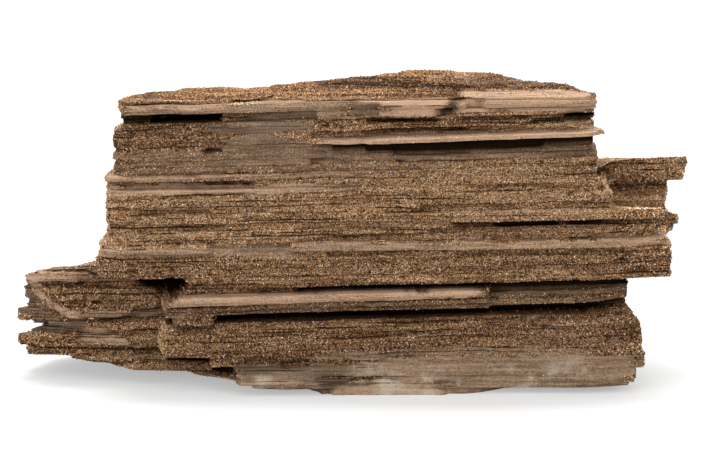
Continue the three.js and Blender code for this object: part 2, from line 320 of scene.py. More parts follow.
def waves(kind: Noise, *axes: np.ndarray | float) -> np.ndarray:
    """Smooth noise.

    Args:
        kind: Which noise.
        *axes: Where the points lie in lattice units, with an array or one number for each axis.

    Returns:
        A number from -1 to 1 for each point.
    """
    places = np.stack(np.broadcast_arrays(*axes), 1)
    low = np.floor(places)
    part = places - low
    part = part * part * (3 - 2 * part)
    total = np.zeros(len(places))
    for corner in np.ndindex(*(2,) * places.shape[1]):
        share = np.prod(np.where(np.array(corner), part, 1 - part), axis=1)
        total += share * scatter(low + np.array(corner), kind)
    return 2 * total - 1


def unit(value: np.ndarray | float) -> np.ndarray:
    """Keeps a value from 0 to 1."""
    return np.clip(value, 0, 1)


# -------------------------------------------------------------------------------------- bare bands and crevices


@dataclass(frozen=True)
class BareBand:
    """A band of the front that the quartz left bare, with its ends and its heights."""

    left: float
    right: float
    low: float
    high: float
    pale: float  # how pale its stone is
    grey: float = 0.0  # how grey its stone is
    share: float = 1.0  # how bare it is


BARE_BANDS: list[BareBand] = [
    BareBand(-70, -30, 84.2, 87.9, 0.6),
    BareBand(-32, 0, 82.6, 87.4, 0.56, 0.3),
    BareBand(-2, 9, 84.4, 87.4, 0.3),
    BareBand(8, 28, 83.3, 88.4, 1.16),
    BareBand(31, 74, 83.4, 89.4, 1.0),
    BareBand(-38, -18, 75.2, 82.6, 0.35, 0.6),
    BareBand(-12, 74, 75.7, 77.5, 1.0, 0.0, 0.93),
    BareBand(-36, 72, 69.8, 75.9, 0.34, 0.2),
    BareBand(-73, 0, 65.2, 67.5, 0.74),
    BareBand(-73, -2, 61.0, 63.8, 0.95, 0.1, 0.88),
    BareBand(-75, -42, 42.8, 45.2, 0.62, 0.15),
    BareBand(-42, -17.5, 42.2, 45.8, 0.36, 0.3),
    BareBand(-17.5, 92, 43.6, 46.1, 0.68, 0.1),
    BareBand(-55.4, 40.2, 28.8, 31.6, 0.87),
    BareBand(42, 82, 27.3, 30.2, 0.1, 0.2, 0.9),
    BareBand(44, 84, 25.4, 26.6, 0.4, 0.1, 0.7),
    BareBand(2, 86, 0, 10.6, 0.62, 0.45),
    BareBand(-55, 41, 25.3, 28.3, 0.2, 0.0, 0.55),
    BareBand(-36, 4, 0, 8.8, 0.3, 0.75),
    BareBand(-71, -34, 76.6, 82.2, 0.2, 0.3, 0.32),
    BareBand(-70, -12, 67.6, 75.4, 0.28, 0.3, 0.58),
    BareBand(-20, 34, 66.6, 69.6, 0.34, 0.2, 0.5),
    BareBand(-2, 60, 62.0, 66.4, 0.3, 0.2, 0.35),
    BareBand(-10, 70, 10.6, 13.4, 0.5, 0.4, 0.6),
    BareBand(36, 84, 12.8, 21.4, 0.45, 0.5, 0.4),
]


@dataclass(frozen=True)
class Crevice:
    """A thin gap between two layers of the front."""

    height: float
    left: float
    right: float
    depth: float = 2.2


CREVICES: list[Crevice] = [
    Crevice(87.5, -68, -45, 1.2), Crevice(78.8, -71, -61), Crevice(65.0, -71, -60),
    Crevice(64.6, -55, -50, 3.5), Crevice(65.1, -48, -30, 1.6), Crevice(65.3, -27, -14, 1.2),
    Crevice(57.2, -71, -65), Crevice(58.4, -39, -21, 2.0), Crevice(57.4, -9.6, -0.7),
    Crevice(54.9, -24, -15), Crevice(53.9, -55, -50), Crevice(52.6, -30, -1, 1.6),
    Crevice(51.0, -72.5, -43, 3.0), Crevice(48.5, -15, -1, 1.8), Crevice(47.2, -59, -42, 1.8),
    Crevice(42.0, -74, -59, 1.8), Crevice(60.5, 37, 56, 1.8), Crevice(58.2, 20, 37, 1.8),
    Crevice(55.7, 23, 75, 2.4), Crevice(63.5, 52, 58, 2.0), Crevice(78.3, 23, 34, 2.2),
    Crevice(80.2, 37, 52, 2.0), Crevice(78.4, 43, 49, 1.6), Crevice(22.6, 40, 81, 2.2),
    Crevice(4.7, -7, 17, 2.0), Crevice(8.0, -33, -14, 1.6), Crevice(33.9, -50, -42, 2.4),
    Crevice(34.6, -42, -24, 2.0), Crevice(33.2, -92, -70, 2.0), Crevice(31.6, -84, -62, 1.2),
    Crevice(29.6, -92, -58, 1.8), Crevice(28.0, -86, -60, 1.5), Crevice(40.2, 18, 40, 1.0),
    Crevice(38.8, 50, 78, 1.0), Crevice(18.6, -40, -12, 1.2), Crevice(14.4, -20, 22, 1.0),
]


@dataclass(frozen=True)
class Flake:
    """A piece of the front with an outline of its own that stands out, or lies deeper, than what is round it."""

    outline: Points  # places along the grain and heights
    out: float = 0.0  # how far it stands out
    edge: float = 1.0  # over what distance it rises
    bare: float | None = None  # how bare it is, or None where it keeps the skin that is there
    pale: float = 0.4
    grey: float = 0.2
    # a painted shade: how dark the colour is made in the flake's hole
    rim: float = 0.0  # width of a bare border on its left, where only the border is bare
    sunken_shade: float = 0.0  # how dark it lies in a hole
    face: float | None = None  # depth of its face at X = 0, if it has one of its own
    slant: float = 0.0  # how that depth changes along the grain
    calm: float = 0.0  # how much smoother that face is than what is round it

    def inside(self, x: np.ndarray, height: np.ndarray) -> np.ndarray:
        """How far inside the outline each place lies.

        Args:
            x: Places along the grain.
            height: Heights at X = 0.

        Returns:
            The distance to the outline in mm, below zero outside it.
        """
        near, crossings = np.full(len(x), np.inf), np.zeros(len(x), bool)
        for (ax, ah), (bx, bh) in zip(self.outline, self.outline[1:] + self.outline[:1]):
            wide, tall = bx - ax, bh - ah
            along = unit(((x - ax) * wide + (height - ah) * tall) / (wide**2 + tall**2))
            near = np.minimum(near, np.hypot(x - ax - along * wide, height - ah - along * tall))
            if tall:
                crossings ^= ((ah > height) != (bh > height)) & (x < ax + (height - ah) * wide / tall)
        return np.where(crossings, near, -near)


FLAKES: dict[str, Flake] = {
    "lobe_behind": Flake(
        [(-99.9, 37), (-104, 36), (-105, 22.4), (-90, 21.4), (-87.2, 22.8), (-92, 26), (-95.6, 29.9)],
        out=-1.2, edge=1.2, bare=0.95, pale=0.22, grey=0.2,
    ),
    "lobe_shell": Flake(
        [(-99.4, 36.4), (-99.2, 33.7), (-96.6, 29.9), (-92, 25.6), (-87.2, 22.8), (-83.3, 21.6), (-69.8, 22.5),
         (-58, 24.6), (-57.4, 31.8), (-51.5, 32.4), (-51.5, 35.9), (-90, 36.4)],
        edge=0.9, bare=1.0, pale=0.8, grey=0.0, rim=3.8, face=-21.2, slant=-0.06,
    ),
    "lobe_smooth": Flake(
        [(-86.9, 23.6), (-77, 25.4), (-66.6, 25.4), (-56.1, 26), (-49.2, 26.6), (-49.8, 24), (-60.6, 22),
         (-72.5, 21.6), (-81.5, 22.2)],
        bare=0.95, pale=0.46, grey=0.2,
    ),
    "lobe_edge": Flake(
        [(-92.5, 35.2), (-84, 36.4), (-75, 36.4), (-75, 35), (-85.5, 34.4), (-92, 33.8)],
        edge=0.5, bare=0.75, pale=0.48, grey=0.0,
    ),
    "foot_slope": Flake(
        [(-101.5, 17.9), (-101, 21), (-92.4, 22.5), (-87.9, 22.8), (-80.4, 22), (-78.9, 19), (-84.9, 16.5),
         (-90.9, 15.9), (-99, 15.4)],
        out=-1.0, edge=1.5, bare=0.95, pale=0.26, grey=0.6,
    ),
    "foot_grain": Flake(
        [(-80.5, 20.4), (-69.5, 21.5), (-65.1, 18.6), (-59.1, 15.2), (-57, 13.2), (-57.6, 10.9), (-72.5, 11.5),
         (-84, 12.4), (-86, 14.4), (-83, 17.5)],
        edge=2.0, bare=0.7, pale=0.62, grey=0.15, face=-19.6, slant=-0.06,
    ),
    "foot_plate": Flake(
        [(-77.5, 21.6), (-73.9, 18.5), (-70.3, 17.1), (-67.3, 13.6), (-57.5, 12), (-50, 12.5), (-50, 21.8)],
        out=1.1, edge=0.6, bare=0.0,
    ),
    "slab_hole": Flake(
        [(-68.5, 35.6), (-62, 36.2), (-50.5, 36.2), (-50, 34), (-51.6, 31.2), (-57.5, 31.2), (-61, 32.8)],
        out=-9.0, edge=0.9, sunken_shade=2.0,
    ),
    "upper_hole": Flake(
        [(-46.5, 74.2), (-43, 75), (-37.4, 75.2), (-38.2, 73.4), (-43, 73.1)],
        out=-4.0, edge=1.0, sunken_shade=0.85,
    ),
    "upper_inset": Flake(
        [(-0.7, 83), (8.3, 82.6), (8.3, 86.6), (-0.7, 87.3)],
        out=-0.9, edge=0.5, bare=0.9, pale=0.22, grey=0.5,
    ),
    "upper_break": Flake(
        [(25.6, 84.2), (28, 87.6), (33.5, 88.0), (30.4, 85.8), (31, 84)],
        out=-1.3, edge=0.8, bare=0.7, pale=0.12, grey=0.5, sunken_shade=0.35,
    ),
    "middle_inset": Flake(
        [(-42, 42.4), (-17.5, 42.2), (-17.5, 45.9), (-42, 45.6)],
        out=-0.7, edge=0.6, bare=0.9, pale=0.46, grey=0.3,
    ),
    "foot_face": Flake(
        [(-3, 0.2), (-3, 8), (20, 13.4), (60, 14.6), (90, 14.4), (90, 0.2), (30, -1)],
        edge=3.4, face=-27.0, slant=-0.008, calm=0.7,
    ),
    "block_hole": Flake(
        [(62, 77.6), (70, 77.6), (70, 82), (62, 82.4)],
        out=-1.6, edge=0.8, bare=0.0, sunken_shade=0.3,
    ),
    "foot_ledge": Flake(
        [(-35.5, 0.5), (-34, 6.6), (-12, 7.6), (-8, 4), (-7, 0.5)],
        edge=1.6, bare=1.0, pale=0.4, grey=0.7, face=-30.2, calm=0.8,
    ),
    "foot_lip": Flake(
        [(-35, 2.6), (-34.4, 5.9), (-24, 6.2), (-10, 4.6), (-9, 2.6)],
        out=0.5, edge=0.8, bare=1.0, pale=0.86, grey=0.3, calm=0.6,
    ),
    "foot_sheet": Flake(
        [(-7, -1), (-5, 3.6), (22, 4.4), (27, 1.5), (27, -1)],
        edge=1.2, bare=0.95, pale=0.92, grey=0.3, face=-29.2, calm=0.7,
    ),
}


# ----------------------------------------------------------------------------------------------- the wood's block


# The skin of the foot's underside. Its keys name the measures of the stone's skin everywhere, among them a painted
# shade for notches, pits, holes, slots and ledges' undersides.
UNDERSIDE: dict[str, float] = {"bare": 0.56, "pale": 0.42, "grey": 0.45, "sunken_shade": 0.0, "tone": -0.4}


def fetch(items: bpy.types.bpy_prop_collection, name: str, width: int = 1, kind: type = np.int32) -> np.ndarray:
    """Reads one property of all the points, edges, faces or corners of a mesh.

    Args:
        items: The mesh's own collection.
        name: The property.
        width: How many numbers each item has.
        kind: The type of number.

    Returns:
        The numbers, one after the other.
    """
    values = np.empty(len(items) * width, kind)
    items.foreach_get(name, values)
    return values


@contextmanager
def edit_mode() -> Iterator[None]:
    """Keeps the active object in edit mode for a while.

    Returns:
        The context for a with statement.
    """
    bpy.ops.object.mode_set(mode="EDIT")
    yield
    bpy.ops.object.mode_set(mode="OBJECT")


def outwards(ahead: np.ndarray) -> np.ndarray:
    """Directions that point away from the block.

    Args:
        ahead: Steps along a ring of points, in plan.

    Returns:
        For each step, one unit square to it on its outer side.
    """
    return np.stack([ahead[:, 1], -ahead[:, 0]], 1) / (np.hypot(*ahead.T)[:, None] + TINY)


class Lip(Enum):
    """Where on a layer a row of points lies."""

    LOWER = "lower"
    UPPER = "upper"
    NOTCH = "notch"


@dataclass(frozen=True)
class Row:
    """One row of points round the block."""

    height: float
    bed: int
    layer: int
    lip: Lip


@dataclass
class WoodBlock:
    """The stone itself, sculpted layer by layer from a round blank."""

    front_columns: int = 156
    left_columns: int = 70
    right_columns: int = 54
    rear_columns: int = 44
    groove: float = 0.26  # height of the notch between two layers
    row_steps: int = 16  # the block has this many times this many steps from row to row
    top_rings: int = 44
    foot_rings: int = 3
    top_heart: tuple[float, float] = (8.0, -8.0)  # the middle of the rings across the top, in plan
    foot_heart: tuple[float, float, float] = (24.0, -2.0, 1.2)  # the middle of those across the foot
    shade_rows: int = 18  # how many rows up and down can hide a point in a slot
    # Painted shade: the beds below this height are darker, as less light from above reaches them.
    painted_shade_below: float = 34.0  # the beds below this height are darker
    lobe_start: float = 76.0  # where the right lobe starts
    rows: list[Row] = field(default_factory=list)
    surface: np.ndarray = field(init=False)  # the points, row by row from the foot to the middle of the top
    heights: np.ndarray = field(init=False)  # their heights before the beds lean and sag
    skin: dict[str, np.ndarray] = field(init=False)  # the measures of UNDERSIDE for each point

    @property
    def columns(self) -> int:
        """How many points each ring has."""
        return self.front_columns + self.rear_columns + self.left_columns + self.right_columns

    def lay_rows(self) -> None:
        """Splits every bed into layers, each with a row at both its edges and one in the notch above it."""
        rng = np.random.default_rng(SEED)
        depths = np.diff([0.0] + [bed.top for bed in BEDS])
        counts = np.ones(len(BEDS), int)
        while 3 * counts.sum() - 1 < self.row_steps**2 + 1:
            counts[np.argmax(depths / counts)] += 1
        bottom, layer, half = 0.0, 0, self.groove / 2
        for number, (bed, count) in enumerate(zip(BEDS, counts)):
            share = rng.uniform(0.6, 1.4, count)
            edges = bottom + np.concatenate([[0], np.cumsum(share / share.sum())]) * (bed.top - bottom)
            for low, high in zip(edges[:-1], edges[1:]):
                self.rows.append(Row(low + half * (low > 0), number, layer, Lip.LOWER))
                self.rows.append(Row(high - half, number, layer, Lip.UPPER))
                self.rows.append(Row(high, number, layer, Lip.NOTCH))
                layer += 1
            bottom = bed.top
        last = self.rows.pop()
        self.rows[-1] = Row(last.height, last.bed, last.layer, Lip.UPPER)

    def bed_ring(self, bed: Bed) -> np.ndarray:
        """One ring of points round a bed, before it is roughened.

        Args:
            bed: The bed.

        Returns:
            The ring's points in plan, starting at the front left corner.
        """
        x = np.linspace(bed.start, bed.stop, self.front_columns)
        front = np.stack([x, Bedding.front_depth(bed, x)], 1)
        plan = Bedding.end_plan(RIGHT_ENDS[bed.right], front[-1, 1], bed.top)
        right = self.spaced(front[-1], plan, self.right_columns)
        plan = Bedding.end_plan(LEFT_ENDS[bed.left], front[0, 1], bed.top)
        left = self.spaced(front[0], plan, self.left_columns)[::-1]
        x = np.linspace(right[-1, 0], left[0, 0], self.rear_columns + 2)[1:-1]
        rear = np.stack([x, Bedding.back_depth(x, bed.top)], 1)
        return np.concatenate([front, right, rear, left])

    @staticmethod
    def spaced(start: np.ndarray, line: np.ndarray, count: int) -> np.ndarray:
        """Points along a line, closer together near its start.

        Args:
            start: Where it starts, which gets no point of its own.
            line: Its corners after that.
            count: How many points.

        Returns:
            The points.
        """
        line = np.vstack([start, line])
        run = np.concatenate([[0], np.cumsum(np.hypot(*np.diff(line, axis=0).T))])
        at = np.linspace(0, 1, count + 1)[1:] ** 1.2 * run[-1]
        return np.stack([np.interp(at, run, line[:, 0]), np.interp(at, run, line[:, 1])], 1)

    def bareness(self, x: np.ndarray, y: np.ndarray, height: np.ndarray) -> tuple[np.ndarray, np.ndarray, np.ndarray]:
        """Where the stone is bare of quartz, and how pale and how grey it is there.

        Args:
            x: Places along the grain.
            y: Depths.
            height: Heights at X = 0.

        Returns:
            Three measures for each place, from 0 to about 1: bare, pale and grey.
        """
        place = (x / 26, y / 26, height / 2.4)
        finer = (3 * axis for axis in place)
        wander = 0.35 * waves(Noise.BAND_EDGE, x / 9, height / 1.1) + 0.25 * waves(Noise.BAND_FRAY, x / 2.2, height)
        bare = unit(2.6 * (waves(Noise.BARE_PATCH, *place) + 0.4 * waves(Noise.BARE_SPECK, *finer)) - 0.75)
        pale = 0.4 + 0.3 * waves(Noise.PALE, x / 40, y / 30, height / 5)
        grey = unit(0.25 + 0.3 * waves(Noise.GREY, x / 50, y / 30, height / 9))
        front = (y < -12) & (x > -78)
        bare = np.where(front, 0.0, bare)
        for band in BARE_BANDS:
            across = np.minimum(height - band.low, band.high - height) + wander
            tongue = 7 * waves(Noise.BAND_TONGUE, height / 0.45, band.left)
            along = (np.minimum(x - band.left, band.right - x) + tongue + 4 * wander) / 3.5
            inside = np.where(front, unit(np.minimum(across / 0.3, along) + 0.5), 0)
            pale = pale + (band.pale - pale) * inside
            grey = grey + (band.grey - grey) * inside
            bare = np.maximum(bare, inside * band.share)
        return bare, pale, grey

    def roughen(
        self, ring: np.ndarray, row: Row, bare: np.ndarray, step: np.ndarray
    ) -> tuple[np.ndarray, np.ndarray, np.ndarray]:
        """Breaks a layer's edge: long waves, splinters that broke off, and the notch above it.

        Args:
            ring: The layer's points in plan.
            row: Which row it is.
            bare: How bare each point is.
            step: How much of a step there is to the next bed, from 0 to 1.

        Returns:
            The new points, how far each one is raised, and a painted shade from how deep it lies in a notch or a pit.
        """
        ahead = np.roll(ring, -1, 0) - np.roll(ring, 1, 0)
        ahead = ahead + np.roll(ahead, 1, 0) + np.roll(ahead, -1, 0)
        outward = outwards(ahead)
        run = np.cumsum(np.hypot(*(ring - np.roll(ring, 1, 0)).T))
        x, y = ring.T
        front = (outward[:, 1] < -0.35) & (y < -2)
        rough = 1 - 0.86 * bare
        swell = 0.7 * waves(Noise.SWELL, x / 30, row.height / 8)
        swell -= (0.15 + 0.5 * bare) * self.rounding(row) * step
        out = self.broken_edge(x, y, run, row.layer, rough)
        if row.lip is Lip.NOTCH:
            out = np.minimum(out, self.broken_edge(x, y, run, row.layer + 1, rough))
        out += swell
        out += np.where(front, 0, 0.4) * waves(Noise.SIDE_RIPPLE, x / 5, y / 5, row.height / 1.1)
        gap = row.layer if row.lip in (Lip.UPPER, Lip.NOTCH) else row.layer - 1
        depth, opening = self.notch(x, run, gap, row.height, rough, front)
        crowd = unit(0.5 + 1.5 * waves(Noise.PIT_CROWD, x / 16, y / 16, row.height / 3))
        pits = crowd * rough * unit(4 * waves(Noise.PIT, x / 1.5, y / 2, row.height / 0.8) - 1.9)
        out -= 0.9 * pits
        raised = {Lip.LOWER: 0.5, Lip.UPPER: -0.5, Lip.NOTCH: 0.0}[row.lip] * opening
        # Painted shade: a notch is darker the deeper it lies, and so are the pits.
        if row.lip is Lip.NOTCH:
            sunken_shade = unit(depth / 1.3) * (0.35 + 0.65 * rough)
            out -= depth
        else:
            sunken_shade = np.clip(depth / 9, 0, 0.25)
            out -= 0.1 * depth
        return ring + outward * out[:, None], raised, np.maximum(sunken_shade, 0.8 * pits)

    @staticmethod
    def rounding(row: Row) -> float:
        """How near a row lies to an edge of its bed, from 0 in the bed's middle to 1 at the edge."""
        low = BEDS[row.bed - 1].top if row.bed else 0.0
        return abs(2 * (row.height - low) / (BEDS[row.bed].top - low) - 1) ** 3

    def lay_flakes(
        self,
        ring: np.ndarray,
        place: np.ndarray,
        height: float,
        sunken_shade: np.ndarray,
        bare: np.ndarray,
        pale: np.ndarray,
        grey: np.ndarray,
    ) -> tuple[np.ndarray, np.ndarray]:
        """Raises or sinks the flakes of one row, and changes its skin in place.

        Args:
            ring: The row's points in plan before they were roughened.
            place: The row's points in plan.
            height: The row's height.
            sunken_shade: The painted shade of each point, from how deep it lies in a notch.
            bare: How bare each point is, changed in place.
            pale: How pale each point is, changed in place.
            grey: How grey each point is, changed in place.

        Returns:
            The new points and how sunken they are.
        """
        x, y = place[:, 0], place[:, 1]
        front = (y < -2) & (np.arange(len(x)) < self.front_columns) | (y < -4)
        high = np.full(len(x), height)
        wander = 0.5 * waves(Noise.FLAKE_EDGE, x / 3, high / 2)
        for flake in FLAKES.values():
            inside = flake.inside(x, high) + wander
            share = unit(inside / flake.edge) * front
            border = share * unit(flake.rim - inside) * (x < -82) if flake.rim else share
            if flake.face is not None:
                level = flake.face + flake.slant * x + 0.4 * waves(Noise.FLAKE_FACE, x / 14, high / 5)
                before = ring[:, 1] + (y - ring[:, 1]) * np.maximum(border if flake.rim else 0, flake.calm)
                place[:, 1] += (level - before) * share * unit((-5 - ring[:, 1]) / 4)
            place[:, 1] -= flake.out * share
            if flake.bare is not None:
                for values, target in ((bare, flake.bare), (pale, flake.pale), (grey, flake.grey)):
                    values += (target - values) * border
            # Painted shade in the holes of the flakes.
            sunken_shade = np.maximum(sunken_shade, flake.sunken_shade * share)
        return place, sunken_shade

    def broken_edge(self, x: np.ndarray, y: np.ndarray, run: np.ndarray, layer: int, rough: np.ndarray) -> np.ndarray:
        """How far a layer's broken edge stands out.

        Args:
            x: Places along the grain.
            y: Depths.
            run: Lengths round the ring.
            layer: The layer's number.
            rough: How rough each place is.

        Returns:
            The distance outwards at each place.
        """
        own = layer * 3.7
        out = 0.3 * rough * waves(Noise.EDGE_LONG, x / 20, y / 20, own)
        out += 0.18 * rough * waves(Noise.EDGE_SHORT, x / 4.5, y / 3, own)
        out += 0.14 * waves(Noise.EDGE_SPLINTER, run / 1.5, own) * rough
        length = 7 + 22 * scatter(np.array([[layer, 5]]), Noise.PIECE_LENGTH)[0]
        piece = np.floor(run / length + scatter(np.array([[layer, 9]]), Noise.PIECE_START)[0])
        lost = scatter(np.stack([piece, np.full(len(x), layer)], 1), Noise.PIECE_LOST)
        return out - np.where(lost > 0.7, 0.3 + 1.6 * (lost - 0.7), 0) * rough

    def notch(
        self, x: np.ndarray, run: np.ndarray, layer: int, height: float, rough: np.ndarray, front: np.ndarray
    ) -> tuple[np.ndarray, np.ndarray]:
        """The notch between a layer and the next, which gapes here and there.

        Args:
            x: Places along the grain.
            run: Lengths round the ring.
            layer: The lower layer's number.
            height: The row's height.
            rough: How rough each place is.
            front: Which places are on the front.

        Returns:
            The notch's depth and how much wider than usual it gapes.
        """
        depth = (0.12 + 0.12 * waves(Noise.NOTCH_DEPTH, run / 6, layer * 1.7)) * rough
        length = 9 + 26 * scatter(np.array([[layer, 1]]), Noise.GAPE_LENGTH)[0]
        cell = run / length + 7.3 * layer
        chance = scatter(np.stack([np.floor(cell), np.full(len(x), layer)], 1), Noise.GAPE_CHANCE)
        within = unit(2.2 * (1 - np.abs((cell % 1) * 2 - 1))) * unit((chance - 0.6) / 0.4)
        ragged = 1 + 0.5 * waves(Noise.GAPE_EDGE, run / 1.8, layer * 1.7)
        depth = depth + 1.5 * within * ragged * rough
        opening = 0.22 * within * ragged * rough
        for gap in CREVICES:
            if abs(gap.height - height) < 0.6:
                window = unit(np.minimum(x - gap.left, gap.right - x) / 5) ** 0.6 * front
                window = window * (1 - abs(gap.height - height) / 1.2)
                ragged = 1 + 0.35 * waves(Noise.CREVICE_EDGE, x / 1.6, layer * 1.7)
                depth = np.maximum(depth, gap.depth * window * ragged)
                opening = np.maximum(opening, 0.16 * gap.depth * window * ragged)
        return depth, np.minimum(opening, 0.75)

    def cap_height(self, x: np.ndarray, y: np.ndarray) -> tuple[np.ndarray, np.ndarray]:
        """How far the remnants on the top stand above the last bed.

        Args:
            x: Places along the grain.
            y: Depths.

        Returns:
            The extra height at each place, and a painted shade at the foot of each step and in the pit, from how near
            it lies to that foot.
        """
        height, foot = np.zeros(len(x)), np.zeros(len(x))
        base = BEDS[-1].top
        for number, cap in enumerate(CAPS):
            own = number * 2.3
            frayed = 1.3 * waves(Noise.CAP_EDGE, x / 11, y / 9, own)
            frayed += 0.6 * waves(Noise.CAP_FRAY, x / 2.8, y / 3, own)
            share = unit((x - cap.left) / (cap.right - cap.left))
            bulge = 1 - np.abs(2 * share - 1) ** 4
            front, back = cap.face + 4.5 * (1 - bulge) + frayed, cap.back - 9 * (1 - bulge) + frayed
            ends = np.minimum(x - cap.left, cap.right - x) + 2 * frayed
            for top, spread in ((cap.top - 0.5, 1.5), (cap.top, 0.0)):
                depth = np.minimum(np.minimum(y - front, back - y) + spread, ends + 3 * spread)
                level = top - base - 0.2 * unit(1 - depth / 0.6)
                near = (depth <= 0) & (height < level) & (y < front + 3)
                foot = np.where(near, np.maximum(foot, unit(1 + depth / 0.9)), foot)
                foot = np.where((depth > 0.3) & (height < level), 0, foot)
                height = np.where(depth > 0, np.maximum(height, level), height)
        # A shallow pit in the top, with a painted shade in it.
        pit = 1 - np.hypot((x + 24) / 9, (y + 24.5) / 2.4)
        foot = np.maximum(foot, unit(2 * pit))
        height = height - 0.5 * unit(2 * pit)
        rippled = 0.2 * waves(Noise.TOP_RIPPLE, x / 12, y) + 0.12 * waves(Noise.TOP_GRAIN, x / 3, y / 0.7)
        return height + rippled - 0.1, foot

    def blank(self) -> bpy.types.Object:
        """A round blank with a ring of points for every row, and rings across its top and its foot.

        Returns:
            The blank. The height of a point counts its row, its angle its column and its radius its inner ring.
        """
        bpy.ops.object.select_all(action="DESELECT")
        tall = len(self.rows) - 1
        bpy.ops.mesh.primitive_cylinder_add(
            vertices=self.columns, radius=1, depth=tall, end_fill_type="NOTHING", location=(0, 0, tall / 2)
        )
        blank = bpy.context.object
        bpy.ops.object.transform_apply(location=True, rotation=False, scale=False)
        for _ in range(2):  # each time, every upright edge is cut into equal lengths
            self.pick_edges(blank, lambda a, b: np.abs(a[:, 2] - b[:, 2]) > 0.5)
            with edit_mode():
                bpy.ops.mesh.subdivide(number_cuts=self.row_steps - 1)
        for level, rings in ((tall, self.top_rings), (0, self.foot_rings)):
            self.pick_edges(blank, lambda a, b: (np.abs(a[:, 2] - level) < 0.01) & (np.abs(b[:, 2] - level) < 0.01))
            with edit_mode():
                for ring in range(rings):
                    bpy.ops.mesh.extrude_edges_move()
                    size = (rings - ring) / (rings + 1 - ring)
                    bpy.ops.transform.resize(value=(size, size, 1), center_override=(0, 0, level))
                bpy.ops.mesh.edge_face_add()
        return blank

    @staticmethod
    def pick_edges(blank: bpy.types.Object, wanted: Callable[[np.ndarray, np.ndarray], np.ndarray]) -> None:
        """Selects edges by the places of their two ends.

        Args:
            blank: The object.
            wanted: Says which edges to select.
        """
        mesh = blank.data
        places = fetch(mesh.vertices, "co", 3, float).reshape(-1, 3)
        pairs = places[fetch(mesh.edges, "vertices", 2).reshape(-1, 2)]
        chosen = wanted(pairs[:, 0], pairs[:, 1])
        with edit_mode():
            bpy.ops.mesh.select_mode(type="EDGE")
            bpy.ops.mesh.select_all(action="DESELECT")
        mesh.edges.foreach_set("select", chosen)

    def sculpt(self) -> None:
        """Works out the surface: a grid of points, and the skin of each one."""
        shape = (len(self.rows) + self.top_rings, self.columns)
        self.surface = np.zeros((*shape, 3))
        self.skin = {name: np.zeros(shape) for name in UNDERSIDE}
        rings = [self.bed_ring(bed) for bed in BEDS]
        for number, row in enumerate(self.rows):
            self.lay_row(number, row, rings)
        self.lay_top()
        # Painted shade in slots and under ledges that hang out, added to that of the notches.
        self.skin["sunken_shade"] = np.maximum(self.skin["sunken_shade"], self.painted_hollow_shade())
        self.heights = self.surface[:, :, 2].copy()
        self.skin["tone"] = self.tones()
        self.settle()
        self.surface[:, :, :2] -= MIDDLE

    def keep_skin(self, number: int, *values: np.ndarray) -> None:
        """Keeps how bare, pale, grey and sunken the points of one row are."""
        for name, value in zip(self.skin, values):
            self.skin[name][number] = value

    def lay_row(self, number: int, row: Row, rings: list[np.ndarray]) -> None:
        """Works out one row of the beds.

        Args:
            number: Which row it is.
            row: The row.
            rings: The ring of every bed.
        """
        ring = rings[row.bed]
        if row.lip is Lip.NOTCH and self.rows[number + 1].bed != row.bed:  # the bed that stands further back
            other = rings[self.rows[number + 1].bed]
            further = np.hypot(*(other / (1.0, 0.6)).T) > np.hypot(*(ring / (1.0, 0.6)).T)
            ring = np.where(further[:, None], ring, other)
        high = np.full(self.columns, row.height)
        bare, pale, grey = self.bareness(ring[:, 0], ring[:, 1], high)
        low = BEDS[row.bed - 1].top if row.bed else 0.0
        towards = 1 if 2 * row.height > low + BEDS[row.bed].top else -1
        beside = rings[min(max(row.bed + towards, 0), len(BEDS) - 1)]
        step = np.clip(np.hypot(*(rings[row.bed] - beside).T) / 1.4, 0.1, 1)
        place, raised, sunken_shade = self.roughen(ring, row, bare, step)
        place, sunken_shade = self.lay_flakes(ring, place, row.height, sunken_shade, bare, pale, grey)
        self.surface[number] = np.column_stack([place, high + raised])
        self.keep_skin(number, bare, pale, grey, sunken_shade)

    def lay_top(self) -> None:
        """Works out the rings across the block's top."""
        count, base, beyond = len(self.rows), BEDS[-1].top, 90  # mm behind the front, where no bare band reaches
        rim = self.surface[count - 1, :, :2]
        for ring in range(self.top_rings):
            place = self.top_heart + (rim - self.top_heart) * ((self.top_rings - ring) / (self.top_rings + 1))
            x, y = place.T
            high, foot = self.cap_height(x, y)
            high *= min(1.0, 0.4 + ring / 3)
            self.surface[count + ring] = np.column_stack([place, base + high])
            bare, pale, grey = self.bareness(x, y + beyond, base + high)
            tread = unit((x - 30) / 2) * unit((-17.5 - y) / 1.5) * (high < 1.4)
            bare, pale, grey = bare + (1.2 - bare) * tread, pale + (0.9 - pale) * tread, grey * (1 - tread)
            # Painted shade at the foot of the top's steps and in its pit.
            self.keep_skin(count + ring, 0.8 * bare, pale, grey, 0.6 * foot)

    def flat(self) -> tuple[np.ndarray, ...]:
        """The surface's places along the grain, depths and heights, each in one line."""
        return self.surface[:, :, 0].ravel(), self.surface[:, :, 1].ravel(), self.heights.ravel()

    def tones(self) -> np.ndarray:
        """How much lighter or darker each point is than the rest: the stone's own tone at random, with painted shade
        on the low beds and painted light on the right lobe.

        Returns:
            A number for each point of the surface, above 0 where it is lighter.
        """
        x, y, high = self.flat()
        tone = 0.6 * waves(Noise.TONE_BED, x / 22, y / 22, high / 0.9)
        tone += 0.4 * waves(Noise.TONE_LAYER, x / 7, y / 9, high / 0.5)
